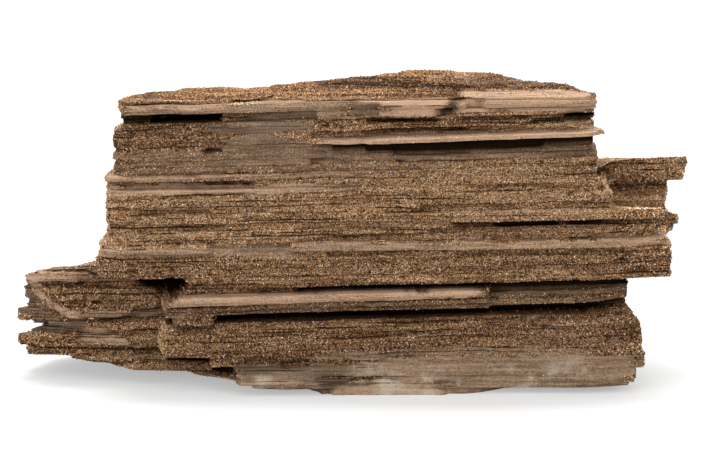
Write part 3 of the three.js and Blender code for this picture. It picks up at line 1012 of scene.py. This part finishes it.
        # Painted shade: the low beds, and those round 39.5 mm, are darker, as less light from above reaches them.
        tone -= (0.5 + 0.3 * (high > 9)) * (high < self.painted_shade_below) + 0.5 * (np.abs(high - 39.5) < 3.5)
        lamina = 0.7 * waves(Noise.LAMINA_LONG, x / 30, (high + 0.012 * x) / 0.45)
        lamina += 0.5 * waves(Noise.LAMINA_SHORT, x / 8, y / 8, high / 0.4)
        plate = 1.0 * (high > 92.5) - 1.7 * unit(1.3 - np.abs(high - 91.1) / 0.8) * (x > -12)
        tone = np.where(high > BEDS[-1].top - 0.2, 1.5 * lamina + plate, tone)
        # Painted light: the right lobe, which the block beside it shades from the lamp, is made lighter; a thin band
        # at 59 mm on it is darker.
        lobe = x > self.lobe_start
        sill = np.where(high > 62, 0.5, np.where(high > 59.7, 0.1, 1.6))
        tone += sill * lobe * (np.abs(high - 60.7) < 4.5)
        tone -= 2.4 * lobe * (np.abs(high - 59.0) < 0.6)
        tone -= 0.8 * unit((-28 - x) / 14) * unit((8 - np.abs(high - 76.5)) / 3)
        return tone.reshape(self.heights.shape)

    def settle(self) -> None:
        """Leans the beds and lets them sag, raises the right lobe's crest and lets the left lobe droop."""
        x, y, high = self.flat()
        sag = 0.3 * waves(Noise.SAG_LONG, x / 34, high / 8)
        sag += 0.2 * waves(Noise.SAG_SHORT, x / 9, y / 9, high / 3)
        sag += 0.1 * waves(Noise.SAG_FINE, x / 2.4, y / 3, high / 1.6)
        crest = 1.5 * unit((high - 62.6) / 2.4) - 0.27 * np.clip(y + 7, 0, 26) * unit((high - 48) / 17)
        trough = 0.24 * np.clip(y + 26, 0, 20) * unit(1 - y / 8) * np.interp(high, (47, 55, 59.4), (0, 1, 0))
        level = high + Bedding.lean(x, high) + sag * unit(high / 5)
        level += (crest - trough) * unit((x - 73) / 4)
        droop = 0.3 * np.clip(y + 1 - 0.85 * (x + 80), 0, 26) * unit((-62 - x) / 11)
        level -= droop * unit(np.minimum((high - 22) / 14, (52 - high) / 16))
        self.surface[:, :, 2] = level.reshape(self.heights.shape)

    def painted_hollow_shade(self) -> np.ndarray:
        """The painted shade of each point, from how deep it lies behind what stands out just above it and just below
        it.

        Returns:
            A share of painted shade for each point of the surface, past 1 far back in a slot.
        """
        count = len(self.rows)
        place, height = self.surface[:count, :, :2], np.array([row.height for row in self.rows])
        ahead = place.mean(0)
        ahead = np.roll(ahead, -2, 0) - np.roll(ahead, 2, 0)
        outward = outwards(ahead)
        reach = (place * outward[None]).sum(2)
        above, below, over = np.zeros_like(reach), np.zeros_like(reach), np.zeros_like(reach)
        for step in range(1, self.shade_rows + 1):
            gap = np.abs(height[step:] - height[:-step])[:, None]
            near = unit((3.4 - gap) / 2.0)
            rise = reach[step:] - reach[:-step]
            above[:-step] = np.maximum(above[:-step], rise * near)
            below[step:] = np.maximum(below[step:], -rise * near)
            # Painted shade under a ledge that hangs out over the point, darkest just below it.
            hang = np.maximum(rise, 0.01)
            shade = np.clip((hang - 1.2) / 3.6, 0, 1.6) * unit((0.21 * hang + 3.1 - gap) / 2.1)
            shade = shade * (outward[:, 1] < -0.6) * unit((place[:-step, :, 0] - Bedding.face_left) / 4)
            over[:-step] = np.maximum(over[:-step], shade)
        sunken_shade = np.zeros((self.surface.shape[0], self.columns))
        sunken_shade[:count] = unit(np.minimum(above, 1.4 * below + 0.12 * above) / 2.6)
        sunken_shade[:count] = np.maximum(sunken_shade[:count], over) * unit((height[:, None] - 3.4) / 1.5)
        return sunken_shade

    def build(self) -> bpy.types.Object:
        """Builds the block.

        Returns:
            The block's object.
        """
        self.lay_rows()
        self.sculpt()
        block = self.blank()
        block.name = block.data.name = "wood"
        mesh = block.data
        blank = fetch(mesh.vertices, "co", 3, float).reshape(-1, 3)
        turn = np.arctan2(blank[:, 1], blank[:, 0]) / (2 * math.pi) * self.columns
        column = np.round(turn).astype(int) % self.columns
        row = np.round(blank[:, 2]).astype(int)
        inward = 1 - np.hypot(blank[:, 0], blank[:, 1])
        top = np.where(row == len(self.rows) - 1, np.round(inward * (self.top_rings + 1)), 0).astype(int)
        foot = np.where(row == 0, inward, 0)
        place = self.surface[row + top, column]
        place = np.where(foot[:, None] > 0.01, place + (self.foot_heart - place) * foot[:, None], place)
        mesh.vertices.foreach_set("co", (place * MM).ravel())
        for name, values in self.skin.items():
            own = values[row + top, column]
            own = own + (UNDERSIDE[name] - own) * unit((self.foot_rings + 1) * foot)
            mesh.attributes.new(name, "FLOAT", "POINT").data.foreach_set("value", own)
        mesh.update()
        self.unroll(mesh, column, row + top - np.round(foot * (self.foot_rings + 1)).astype(int))
        bpy.ops.object.select_all(action="DESELECT")
        block.select_set(True)
        bpy.context.view_layer.objects.active = block
        bpy.ops.object.shade_smooth_by_angle(angle=math.radians(38))
        return block

    def unroll(self, mesh: bpy.types.Mesh, column: np.ndarray, line: np.ndarray) -> None:
        """Lays the surface out flat: columns along the sheet, rows and inner rings up it.

        Args:
            mesh: The block's mesh.
            column: Each vertex's column.
            line: Each vertex's row, with the foot's rings below zero.
        """
        corner = fetch(mesh.loops, "vertex_index")
        first, total = fetch(mesh.polygons, "loop_start"), fetch(mesh.polygons, "loop_total")
        face = np.repeat(np.arange(len(first)), total)
        across = column[corner].astype(float)
        widest = np.maximum.reduceat(across, first)[face]
        across = np.where(widest - across > self.columns / 2, across + self.columns, across)
        up = line[corner].astype(float)
        u = 0.01 + 0.98 * across / self.columns
        v = 0.04 + 0.92 * (up + self.foot_rings) / (self.surface.shape[0] + self.foot_rings)
        ends = total[face] > 4  # the two small closing faces
        angle = 2 * math.pi * across / self.columns
        u = np.where(ends, 0.02 + 0.015 * (1 + np.cos(angle)) + np.where(up < 0, 0.1, 0), u)
        v = np.where(ends, 0.005 + 0.015 * (1 + np.sin(angle)) * 0.9, v)
        sheet = mesh.uv_layers.new(name="OFBake")
        sheet.uv.foreach_set("vector", np.stack([u, v], 1).astype(np.float32).ravel())


# -------------------------------------------------------------------------------------------------- the quartz


class Side(Enum):
    """The parts of the block that each carry a druse of their own."""

    FRONT_LOW = "front_low"
    FRONT_MIDDLE = "front_middle"
    FRONT_HIGH = "front_high"
    TOP = "top"
    ENDS = "ends"
    BACK = "back"


@dataclass
class Druse:
    """Fine quartz over one side of the block: many small points, each with a tint of its own."""

    side: Side
    wood: WoodBlock
    density: float = 9.6  # points for each square millimetre of stone that isn't bare
    radius: float = 0.19
    sides: int = 3
    seed: int = 1
    most: int = 186_000  # triangles
    splits: tuple[float, float] = (33.0, 60.0)  # heights at which the front's parts meet
    rim: float = 88.1  # height above which the top starts
    tilt: float = 0.42  # how far the points lean at random
    tint: float = 0.56  # their middle tint
    tint_spread: float = 0.31
    # The stone's tone carries its painted shade and painted light into the points' tints.
    tint_tone: float = 0.19  # how much the stone's tone lightens them
    # Painted light: the points are lighter where their stone faces up to the light.
    painted_light_upward: float = 0.14  # how much lighter they are where the stone faces up
    dark_share: float = 0.11  # the share of points that are darker, and by how much
    dark_drop: float = 0.36
    cream_share: float = 0.07
    white_share: float = 0.007

    @property
    def name(self) -> str:
        """The name of the piece."""
        return f"druse_{self.side.value}"

    def covers(self, place: np.ndarray, height: np.ndarray) -> np.ndarray:
        """Which places belong to this side.

        Args:
            place: Points on the stone.
            height: Their heights in the beds.

        Returns:
            True for each point of this side.
        """
        x, y = place[..., 0], place[..., 1]
        body, front = height < self.rim, (y < -9) & (x > -76) & (x < 78)
        return {
            Side.FRONT_LOW: body & front & (height < self.splits[0]),
            Side.FRONT_MIDDLE: body & front & (height >= self.splits[0]) & (height < self.splits[1]),
            Side.FRONT_HIGH: body & front & (height >= self.splits[1]),
            Side.TOP: ~body,
            Side.ENDS: body & ~front & (y < 8),
            Side.BACK: body & ~front & (y >= 8),
        }[self.side]

    def point_shape(self) -> tuple[np.ndarray, np.ndarray]:
        """One point, modelled once.

        Returns:
            Its vertices, one unit in radius, and its triangles.
        """
        bpy.ops.object.select_all(action="DESELECT")
        bpy.ops.mesh.primitive_cone_add(
            vertices=self.sides, radius1=1, radius2=0, depth=1.5, end_fill_type="NGON", location=(0, 0, 0.45)
        )
        model = bpy.context.object
        bpy.ops.object.transform_apply(location=True, rotation=False, scale=False)
        with edit_mode():
            bpy.ops.mesh.select_all(action="SELECT")
            bpy.ops.mesh.quads_convert_to_tris()
        shape = np.array([v.co for v in model.data.vertices])
        faces = np.array([tuple(p.vertices) for p in model.data.polygons])
        bpy.data.objects.remove(model, do_unlink=True)
        return shape, faces

    def seats(self, rng: np.random.Generator) -> tuple[np.ndarray, ...]:
        """Chooses where the points grow.

        Args:
            rng: The source of chance.

        Returns:
            For each point its place, the way its stone faces, its height in the beds, its painted shade and its
            stone's tone.
        """
        grid, high = self.wood.surface, self.wood.heights
        following = np.roll(grid, -1, axis=1)
        a, b, c, d = grid[:-1], following[:-1], following[1:], grid[1:]
        facing = np.cross(c - a, d - b)
        area = np.linalg.norm(facing, axis=2) / 2
        facing = facing / (2 * area[:, :, None] + TINY)
        middle = (a + b + c + d) / 4

        skin = self.wood.skin
        bare, sunken_shade, tone, height = map(self.over_cell, (skin["bare"], skin["sunken_shade"], skin["tone"], high))
        wanted = self.covers(middle, height) & (middle[:, :, 2] > 0.7)
        x, y = middle[:, :, 0].ravel(), middle[:, :, 1].ravel()
        patchy = waves(Noise.QUARTZ_PATCH, x / 6, y / 6, height.ravel() / 0.9).reshape(bare.shape)
        cover = unit(1.02 - bare) ** 1.4 * unit(1.05 - 1.2 * sunken_shade) * np.clip(0.95 + 0.5 * patchy, 0, 1.2)
        weight = np.where(wanted, area * cover, 0).ravel()
        total = np.cumsum(weight)
        count = min(int(total[-1] * self.density), self.most // (2 * self.sides - 2))
        log.info("%s: %d points on %d mm2", self.name, count, total[-1])
        at = (np.arange(count) + rng.random(count)) / count * total[-1]
        cell = np.searchsorted(total, at)
        u, v = rng.random((2, count, 1))
        a, b, c, d = (corner.reshape(-1, 3)[cell] for corner in (a, b, c, d))
        place = (a * (1 - u) + b * u) * (1 - v) + (d * (1 - u) + c * u) * v
        return place, facing.reshape(-1, 3)[cell], height.ravel()[cell], sunken_shade.ravel()[cell], tone.ravel()[cell]

    @staticmethod
    def over_cell(values: np.ndarray) -> np.ndarray:
        """The mean of a value over each cell of the grid."""
        beside = np.roll(values, -1, axis=1)
        return (values[:-1] + values[1:] + beside[:-1] + beside[1:]) / 4

    def grow(self, rng: np.random.Generator, shape: np.ndarray, seats: tuple[np.ndarray, ...]) -> np.ndarray:
        """Works out where the points' vertices lie.

        Args:
            rng: The source of chance.
            shape: One point's vertices.
            seats: The points' places, the way their stone faces, and their painted shade.

        Returns:
            The vertices of every point.
        """
        place, facing, sunken_shade = seats
        count = len(place)
        way = facing + self.tilt * rng.normal(size=(count, 3))
        way /= np.linalg.norm(way, axis=1, keepdims=True)
        side = np.cross(way, rng.normal(size=(count, 3)))
        side /= np.linalg.norm(side, axis=1, keepdims=True)
        other = np.cross(way, side)
        size = self.radius * np.clip(rng.lognormal(0, 0.24, count), 0.55, 1.8) * (1 - 0.25 * np.minimum(sunken_shade, 1))
        tall = rng.uniform(0.7, 1.25, count)
        local = np.repeat(shape[None], count, 0) * rng.uniform(0.82, 1.18, (count, len(shape), 1))
        local[:, :, 2] *= tall[:, None]
        vertices = place[:, None] + size[:, None, None] * (
            local[:, :, 0:1] * side[:, None] + local[:, :, 1:2] * other[:, None] + local[:, :, 2:3] * way[:, None]
        )
        vertices[:, :, 2] = np.maximum(vertices[:, :, 2], 0.05)  # just clear of the floor
        return vertices

    def tints(self, rng: np.random.Generator, facing: np.ndarray, height: np.ndarray, tone: np.ndarray) -> np.ndarray:
        """Works out each point's tint before the painted shade of the slots. The top's points get a painted shade,
        darker against the strong light from above.

        Args:
            rng: The source of chance.
            facing: The way each point's stone faces.
            height: The points' heights in the beds.
            tone: Their stone's tone.

        Returns:
            A place on the quartz's scale of colours for each point.
        """
        count = len(height)
        tint = self.tint + self.tint_spread * rng.normal(size=count)
        # Painted light on the points whose stone faces up.
        tint = tint + self.tint_tone * tone + self.painted_light_upward * np.clip(facing[:, 2], -1, 0.8)
        tint -= self.dark_drop * (rng.random(count) < self.dark_share)
        # Painted shade: the top's points, and its cream and white ones, are darker against the strong light from
        # above.
        upper = height > self.rim
        painted_top_shade = np.maximum(0.21 + 0.66 * (tint - 0.61) - 0.05 * (height > 90), 0.1)
        tint = np.where(upper, painted_top_shade, tint)
        pick = rng.random(count)
        tint = np.where(pick > 1 - self.cream_share, rng.uniform(0.66, 0.84, count) - 0.26 * upper, tint)
        return np.where(pick > 1 - self.white_share, 1.0 - 0.4 * upper, tint)

    def build(self) -> bpy.types.Object:
        """Grows the points.

        Returns:
            One object that holds them all.
        """
        rng = np.random.default_rng(self.seed)
        shape, faces = self.point_shape()
        place, facing, height, sunken_shade, tone = self.seats(rng)
        count = len(place)
        vertices = self.grow(rng, shape, (place, facing, sunken_shade))
        # Painted shade: points in notches, slots, holes and under ledges are darker.
        tint = self.tints(rng, facing, height, tone) - 0.6 * sunken_shade
        mesh = bpy.data.meshes.new(self.name)
        corners = (np.arange(count)[:, None, None] * len(shape) + faces[None]).reshape(-1)
        mesh.vertices.add(count * len(shape))
        mesh.loops.add(len(corners))
        mesh.polygons.add(count * len(faces))
        mesh.vertices.foreach_set("co", (vertices * MM).astype(np.float32).ravel())
        mesh.loops.foreach_set("vertex_index", corners.astype(np.int32))
        mesh.polygons.foreach_set("loop_start", np.arange(0, len(corners), 3, dtype=np.int32))
        mesh.update(calc_edges=True)
        own = np.repeat(unit(tint), len(shape)).astype(np.float32)
        mesh.attributes.new("tint", "FLOAT", "POINT").data.foreach_set("value", own)
        self.lay_out(mesh, shape, faces, count)
        druse = bpy.data.objects.new(self.name, mesh)
        bpy.context.collection.objects.link(druse)
        return druse

    @staticmethod
    def lay_out(mesh: bpy.types.Mesh, shape: np.ndarray, faces: np.ndarray, count: int) -> None:
        """Gives each point a small square of the sheet to itself.

        Args:
            mesh: The mesh of all the points.
            shape: One point's vertices.
            faces: One point's triangles.
            count: How many points there are.
        """
        across = math.ceil(math.sqrt(count))
        number = np.arange(count)
        square = np.stack([number % across, number // across], 1) / across
        flat = 0.5 + 0.44 * shape[:, :2]
        uv = square[:, None, None] + flat[faces][None] / across
        mesh.uv_layers.new(name="OFBake").uv.foreach_set("vector", uv.astype(np.float32).ravel())


# ------------------------------------------------------------------------------------------------- the finishes

Colour = tuple[float, float, float]


class NodeTree:
    """A small helper that adds nodes and links them."""

    def __init__(self, tree: bpy.types.NodeTree) -> None:
        """Takes the tree to work in."""
        self.tree = tree

    def add(self, kind: str, **values: object) -> bpy.types.Node:
        """Adds a node.

        Args:
            kind: The node's type, without its ShaderNode prefix.
            **values: Its own settings.

        Returns:
            The node.
        """
        node = self.tree.nodes.new("ShaderNode" + kind if not kind.startswith("Node") else kind)
        for name, value in values.items():
            setattr(node, name, value)
        return node

    def put(self, socket: bpy.types.NodeSocket, value: object) -> None:
        """Links or sets one input.

        Args:
            socket: The input.
            value: The socket that feeds it, a number, three numbers or a colour.
        """
        if isinstance(value, bpy.types.NodeSocket):
            self.tree.links.new(value, socket)
        else:
            socket.default_value = (*value, 1) if socket.type == "RGBA" else value

    def feed(self, node: bpy.types.Node, **inputs: object) -> bpy.types.Node:
        """Sets or links a node's inputs by name, with underscores for spaces.

        Args:
            node: The node.
            **inputs: For each input, a value or the socket that feeds it.

        Returns:
            The same node.
        """
        for name, value in inputs.items():
            self.put(node.inputs[name.replace("_", " ")], value)
        return node

    def maths(self, operation: str, *terms: object, clamp: bool = False) -> bpy.types.NodeSocket:
        """One sum of two or three numbers.

        Args:
            operation: Blender's name for it.
            *terms: Numbers or sockets.
            clamp: Whether to keep the answer from 0 to 1.

        Returns:
            The socket that holds the answer.
        """
        node = self.add("Math", operation=operation, use_clamp=clamp)
        for socket, term in zip(node.inputs, terms):
            self.put(socket, term)
        return node.outputs[0]

    def between(self, value: object, low: float, high: float) -> bpy.types.NodeSocket:
        """How far a value lies on the way between two others, from 0 to 1.

        Args:
            value: The socket that holds it.
            low: Where the answer is 0.
            high: Where the answer is 1.

        Returns:
            The socket that holds the answer.
        """
        return self.feed(self.add("MapRange"), Value=value, From_Min=low, From_Max=high).outputs[0]

    def blend(self, share: object, first: object, second: object) -> bpy.types.NodeSocket:
        """Blends two colours.

        Args:
            share: How much of the second, as a number or a socket.
            first: A colour or a socket.
            second: A colour or a socket.

        Returns:
            The socket that holds the blend.
        """
        node = self.add("Mix", data_type="RGBA")
        for index, value in ((0, share), (6, first), (7, second)):
            self.put(node.inputs[index], value)
        return node.outputs[2]

    def ramp(self, value: bpy.types.NodeSocket, stops: tuple[tuple[float, Colour], ...]) -> bpy.types.NodeSocket:
        """Turns a value into a colour.

        Args:
            value: The socket that holds the value.
            stops: Values from 0 to 1 in rising order, each with its colour.

        Returns:
            The socket that holds the colour.
        """
        node = self.add("ValToRGB")
        elements = node.color_ramp.elements
        for place, colour in stops[1:-1]:
            elements.new(place).color = (*colour, 1)
        for element, (place, colour) in ((elements[0], stops[0]), (elements[-1], stops[-1])):
            element.position, element.color = place, (*colour, 1)
        self.put(node.inputs[0], value)
        return node.outputs[0]

    def attribute(self, name: str) -> bpy.types.NodeSocket:
        """The value of one of the mesh's own attributes."""
        return self.add("Attribute", attribute_name=name).outputs["Fac"]


def new_material(name: str) -> tuple[bpy.types.Material, NodeTree, bpy.types.Node]:
    """Starts a material.

    Args:
        name: Its name.

    Returns:
        The material, the helper for its nodes, and its shader.
    """
    material = bpy.data.materials.new(name)
    material.use_nodes = True
    return material, NodeTree(material.node_tree), material.node_tree.nodes["Principled BSDF"]


def new_group(
    name: str, inputs: dict[str, float], outputs: tuple[str, ...]
) -> tuple[NodeTree, bpy.types.Node, bpy.types.Node]:
    """Starts a node group.

    Args:
        name: Its name.
        inputs: Its inputs, each with its usual value.
        outputs: The names of its outputs.

    Returns:
        The helper for its nodes, the node that gives its inputs and the node that takes its outputs.
    """
    group = bpy.data.node_groups.new(name, "ShaderNodeTree")
    for label, value in inputs.items():
        socket = group.interface.new_socket(label, in_out="INPUT", socket_type="NodeSocketFloat")
        socket.default_value = value
    for label in outputs:
        group.interface.new_socket(label, in_out="OUTPUT", socket_type="NodeSocketFloat")
    tree = NodeTree(group)
    return tree, tree.add("NodeGroupInput"), tree.add("NodeGroupOutput")


def grain_group() -> bpy.types.NodeTree:
    """The shared grain of the wood: fine lines and broader streaks that run along X.

    Returns:
        A node group with a mask of the lines, a mask of the streaks and a height.
    """
    tree, given, result = new_group("wood_grain", {"Fine": 1.0, "Coarse": 1.0}, ("Lines", "Streaks", "Height"))
    places = tree.add("TexCoord").outputs["Object"]
    fine = tree.feed(tree.add("Mapping"), Vector=places, Scale=(80, 500, 1300)).outputs[0]
    coarse = tree.feed(tree.add("Mapping"), Vector=places, Scale=(22, 120, 420)).outputs[0]
    lines, streaks = (
        tree.feed(tree.add("TexNoise"), Vector=way, Scale=1.0, Detail=4.0, Roughness=rough, Distortion=bent)
        for way, rough, bent in ((fine, 0.72, 0.9), (coarse, 0.6, 0.8))
    )
    lines, streaks = lines.outputs["Fac"], streaks.outputs["Fac"]
    scaled = tree.maths("MULTIPLY", lines, given.outputs["Fine"])
    broad = tree.maths("MULTIPLY", streaks, given.outputs["Coarse"])
    tree.feed(result, Lines=lines, Streaks=streaks, Height=tree.maths("ADD", scaled, broad))
    return tree.tree


def sugar_group() -> bpy.types.NodeTree:
    """The shared sugary grain of fine quartz.

    Returns:
        A node group with a tint for each grain and a height.
    """
    tree, given, result = new_group("quartz_sugar", {"Grains per metre": 3400.0}, ("Tint", "Height"))
    places = tree.add("TexCoord").outputs["Object"]
    cells = tree.feed(tree.add("TexVoronoi", feature="F1"), Vector=places, Scale=given.outputs[0])
    tint = tree.feed(tree.add("SeparateColor"), Color=cells.outputs["Color"]).outputs[0]
    tree.feed(result, Tint=tint, Height=tree.maths("SUBTRACT", 1.0, cells.outputs["Distance"]))
    return tree.tree


@dataclass(frozen=True)
class StoneFinish:
    """The petrified wood: dark brown under the quartz, tan, pinkish or grey where it is bare, with a painted shade
    that runs to near black in slots, under ledges and in holes.
    """

    under: tuple[tuple[float, Colour], ...] = (
        (0.0, (0.016, 0.006, 0.002)),
        (0.36, (0.130, 0.060, 0.026)),
        (0.7, (0.38, 0.207, 0.100)),
        (1.0, (0.62, 0.38, 0.20)),
    )
    bare_dark: Colour = (0.085, 0.045, 0.024)
    bare_mid: Colour = (0.235, 0.143, 0.082)
    bare_pale: Colour = (0.46, 0.300, 0.195)
    bare_grey: Colour = (0.165, 0.123, 0.080)
    mineral: Colour = (0.50, 0.42, 0.33)  # pale patches on the foot
    mineral_heights: tuple[float, float] = (0.016, 0.004)  # where they fade out, and where they are whole, in metres
    # Painted shade: the near-black colour that slots, ledges' undersides and holes are blended towards.
    slot: Colour = (0.016, 0.008, 0.004)

    def build(self, grain: bpy.types.NodeTree, sugar: bpy.types.NodeTree) -> bpy.types.Material:
        """Makes the material.

        Args:
            grain: The shared wood grain.
            sugar: The shared quartz grain.

        Returns:
            The material.
        """
        material, tree, shader = new_material("petrified_wood_stone")
        places = tree.add("TexCoord").outputs["Object"]
        lines = tree.add("Group", node_tree=grain).outputs
        sugars = tree.add("Group", node_tree=sugar).outputs
        bare, pale, grey, sunken_shade, own = map(tree.attribute, UNDERSIDE)
        broken, speck, patches = (
            tree.feed(tree.add("TexNoise"), Vector=places, Scale=scale, Detail=detail, Roughness=rough).outputs["Fac"]
            for scale, detail, rough in ((900.0, 3.0, 0.5), (2300.0, 1.0, 0.5), (95.0, 6.0, 0.7))
        )
        frayed = tree.maths("MULTIPLY", tree.maths("SUBTRACT", broken, 0.5), 0.9)
        bare_here = tree.between(tree.maths("ADD", bare, frayed), 0.38, 0.62)
        streak = tree.maths("MULTIPLY_ADD", lines["Lines"], 2.2, -1.12)
        broad = tree.maths("MULTIPLY_ADD", lines["Streaks"], 1.0, -0.52)
        streak = tree.maths("ADD", streak, tree.maths("MULTIPLY_ADD", speck, 1.8, -0.9))
        tone = tree.maths("ADD", pale, tree.maths("ADD", streak, broad), clamp=True)
        bare_tones = tree.ramp(tone, ((0.0, self.bare_dark), (0.42, self.bare_mid), (1.0, self.bare_pale)))
        stone = tree.blend(tree.maths("MULTIPLY", grey, 0.8), bare_tones, self.bare_grey)
        height = tree.feed(tree.add("SeparateXYZ"), Vector=places).outputs["Z"]
        low = tree.between(height, *self.mineral_heights)
        white = tree.between(patches, 0.525, 0.645)
        stone = tree.blend(tree.maths("MULTIPLY", white, tree.maths("MULTIPLY", low, 0.75)), stone, self.mineral)
        tinted = tree.maths("ADD", sugars["Tint"], tree.maths("MULTIPLY", own, 0.25), clamp=True)
        colour = tree.blend(bare_here, tree.ramp(tinted, self.under), stone)
        # Painted shade: blends towards near black where the stone lies in a slot, under a ledge or in a hole.
        colour = tree.blend(tree.maths("MULTIPLY", tree.maths("POWER", sunken_shade, 1.2), 0.98), colour, self.slot)
        relief = tree.maths("MULTIPLY", sugars["Height"], tree.maths("SUBTRACT", 1.0, bare_here))
        relief = tree.maths("ADD", relief, tree.maths("MULTIPLY", lines["Height"], 0.5))
        relief = tree.maths("ADD", relief, tree.maths("MULTIPLY", speck, 1.2))
        bump = tree.feed(tree.add("Bump"), Height=relief, Strength=0.7, Distance=0.0003)
        rough = tree.feed(tree.add("MapRange"), Value=bare_here, To_Min=0.5, To_Max=0.74).outputs[0]
        shine = tree.maths("MULTIPLY", tree.maths("SUBTRACT", 1.0, sunken_shade, clamp=True), 0.2)
        tree.feed(shader, Base_Color=colour, Roughness=rough, Specular_IOR_Level=shine, Normal=bump.outputs[0])
        return material


@dataclass(frozen=True)
class QuartzFinish:
    """The druse: most points honey to orange-brown from the stone under them, some cream and a few white, with
    painted shade and painted light in their tints.
    """

    stops: tuple[tuple[float, Colour], ...] = (
        (0.0, (0.026, 0.009, 0.003)),
        (0.26, (0.205, 0.090, 0.033)),
        (0.52, (0.61, 0.340, 0.150)),
        (0.8, (0.90, 0.64, 0.36)),
        (1.0, (0.98, 0.90, 0.74)),
    )
    roughness: float = 0.3
    refraction: float = 1.54
    shine: float = 0.08

    def build(self) -> bpy.types.Material:
        """Makes the material.

        Returns:
            The material.
        """
        material, tree, shader = new_material("fine_quartz")
        colour = tree.ramp(tree.attribute("tint"), self.stops)
        tree.feed(shader, Base_Color=colour, Roughness=self.roughness)
        tree.feed(shader, IOR=self.refraction, Specular_IOR_Level=self.shine)
        return material


# ---------------------------------------------------------------------------------------------------- the studio


@dataclass
class Studio:
    """A pale floor, soft light from above and the camera."""

    lens: float = 100.0
    elevation: float = 12.0
    step: float = 0.2925  # millimetres for each pixel at the block's face
    picture: tuple[int, int] = (708, 472)
    aim: tuple[float, float, float] = (1.42, -26.5, 48.0)  # in millimetres
    sensor: float = 36.0
    lamp_aim: tuple[float, float, float] = (0.0, 0.0, 0.045)
    sky: float = 1.26
    floor_seen: Colour = (0.475, 0.475, 0.471)  # the floor to the camera, which also sees it glow
    floor_glow: float = 0.38
    floor_light: Colour = (0.34, 0.33, 0.32)  # the floor to the light that bounces off it

    def floor(self) -> bpy.types.Object:
        """The floor, a wide pale sheet.

        Returns:
            The floor's object.
        """
        bpy.ops.mesh.primitive_plane_add(size=8, location=(0, 0, 0))
        floor = bpy.context.object
        floor.name = "floor"
        material, tree, shader = new_material("floor_white")
        tree.feed(shader, Base_Color=self.floor_seen, Roughness=0.9, Specular_IOR_Level=0.0)
        tree.feed(shader, Emission_Color=(1, 1, 1), Emission_Strength=self.floor_glow)
        calm = tree.feed(tree.add("BsdfDiffuse"), Color=self.floor_light)
        seen = tree.add("LightPath").outputs["Is Camera Ray"]
        chosen = tree.add("MixShader")
        for socket, value in zip(chosen.inputs, (seen, calm.outputs[0], shader.outputs[0])):
            tree.put(socket, value)
        tree.feed(material.node_tree.nodes["Material Output"], Surface=chosen.outputs[0])
        floor.data.materials.append(material)
        return floor

    def lamp(self, name: str, size: tuple[float, float], power: float, place: tuple[float, float, float]) -> None:
        """A soft lamp that points at the block.

        Args:
            name: Its name.
            size: Its width and length in metres.
            power: Its power in watts.
            place: Where it hangs.
        """
        bpy.ops.object.light_add(type="AREA", location=place)
        lamp = bpy.context.object
        lamp.name = name
        lamp.data.shape = "RECTANGLE"
        lamp.data.size, lamp.data.size_y = size
        lamp.data.energy = power
        lamp.rotation_euler = (Vector(self.lamp_aim) - Vector(place)).to_track_quat("-Z", "Y").to_euler()

    def build(self) -> None:
        """Sets up the floor, the lamps, the sky and the camera."""
        self.floor()
        self.lamp("lamp_above", (1.0, 0.25), 12.0, (0.0, 0.17, 1.2))
        self.lamp("lamp_left", (0.6, 0.3), 7.0, (-1.0, -1.0, 0.4))
        scene = bpy.context.scene
        world = bpy.data.worlds.new("studio")
        scene.world = world
        world.use_nodes = True
        NodeTree(world.node_tree).feed(world.node_tree.nodes["Background"], Color=(1, 1, 1), Strength=self.sky)
        scene.view_settings.view_transform = "Standard"
        camera = bpy.data.cameras.new("camera")
        camera.lens = self.lens
        camera.sensor_width = self.sensor
        camera.clip_start = 0.01
        viewer = bpy.data.objects.new("camera", camera)
        bpy.context.collection.objects.link(viewer)
        lift = math.radians(self.elevation)
        away = Vector((0, -math.cos(lift), math.sin(lift)))
        distance = self.lens / self.sensor * self.picture[0] * self.step
        viewer.location = (Vector(self.aim) + away * distance) * MM
        viewer.rotation_euler = (math.radians(90) - lift, 0, 0)
        scene.camera = viewer


# ------------------------------------------------------------------------------------------------------ assembly


def dress(piece: bpy.types.Object, material: bpy.types.Material) -> None:
    """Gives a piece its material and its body.

    Args:
        piece: The piece.
        material: Its material.
    """
    piece.data.materials.append(material)
    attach(piece, BODY)


def main() -> None:
    """Builds the studio, the block and its quartz, and notes the sizes before and after."""
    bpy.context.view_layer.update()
    Studio().build()
    wood = WoodBlock()
    block = wood.build()
    dress(block, StoneFinish().build(grain_group(), sugar_group()))
    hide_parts(NODE)
    log.info("wood: %d points", len(block.data.vertices))
    quartz = QuartzFinish().build()
    for druse in (
        Druse(Side.FRONT_LOW, wood, seed=11),
        Druse(Side.FRONT_MIDDLE, wood, seed=12),
        Druse(Side.FRONT_HIGH, wood, seed=13),
        Druse(Side.TOP, wood, radius=0.24, seed=14, most=120_000),
        Druse(Side.ENDS, wood, radius=0.27, seed=15, most=150_000),
        Druse(Side.BACK, wood, radius=0.45, seed=16, most=80_000),
    ):
        piece = druse.build()
        dress(piece, quartz)
        log.info("%s: %d triangles", piece.name, len(piece.data.polygons))


if __name__ == "__main__":
    logging.basicConfig(level=logging.INFO, format="%(message)s")
    main()
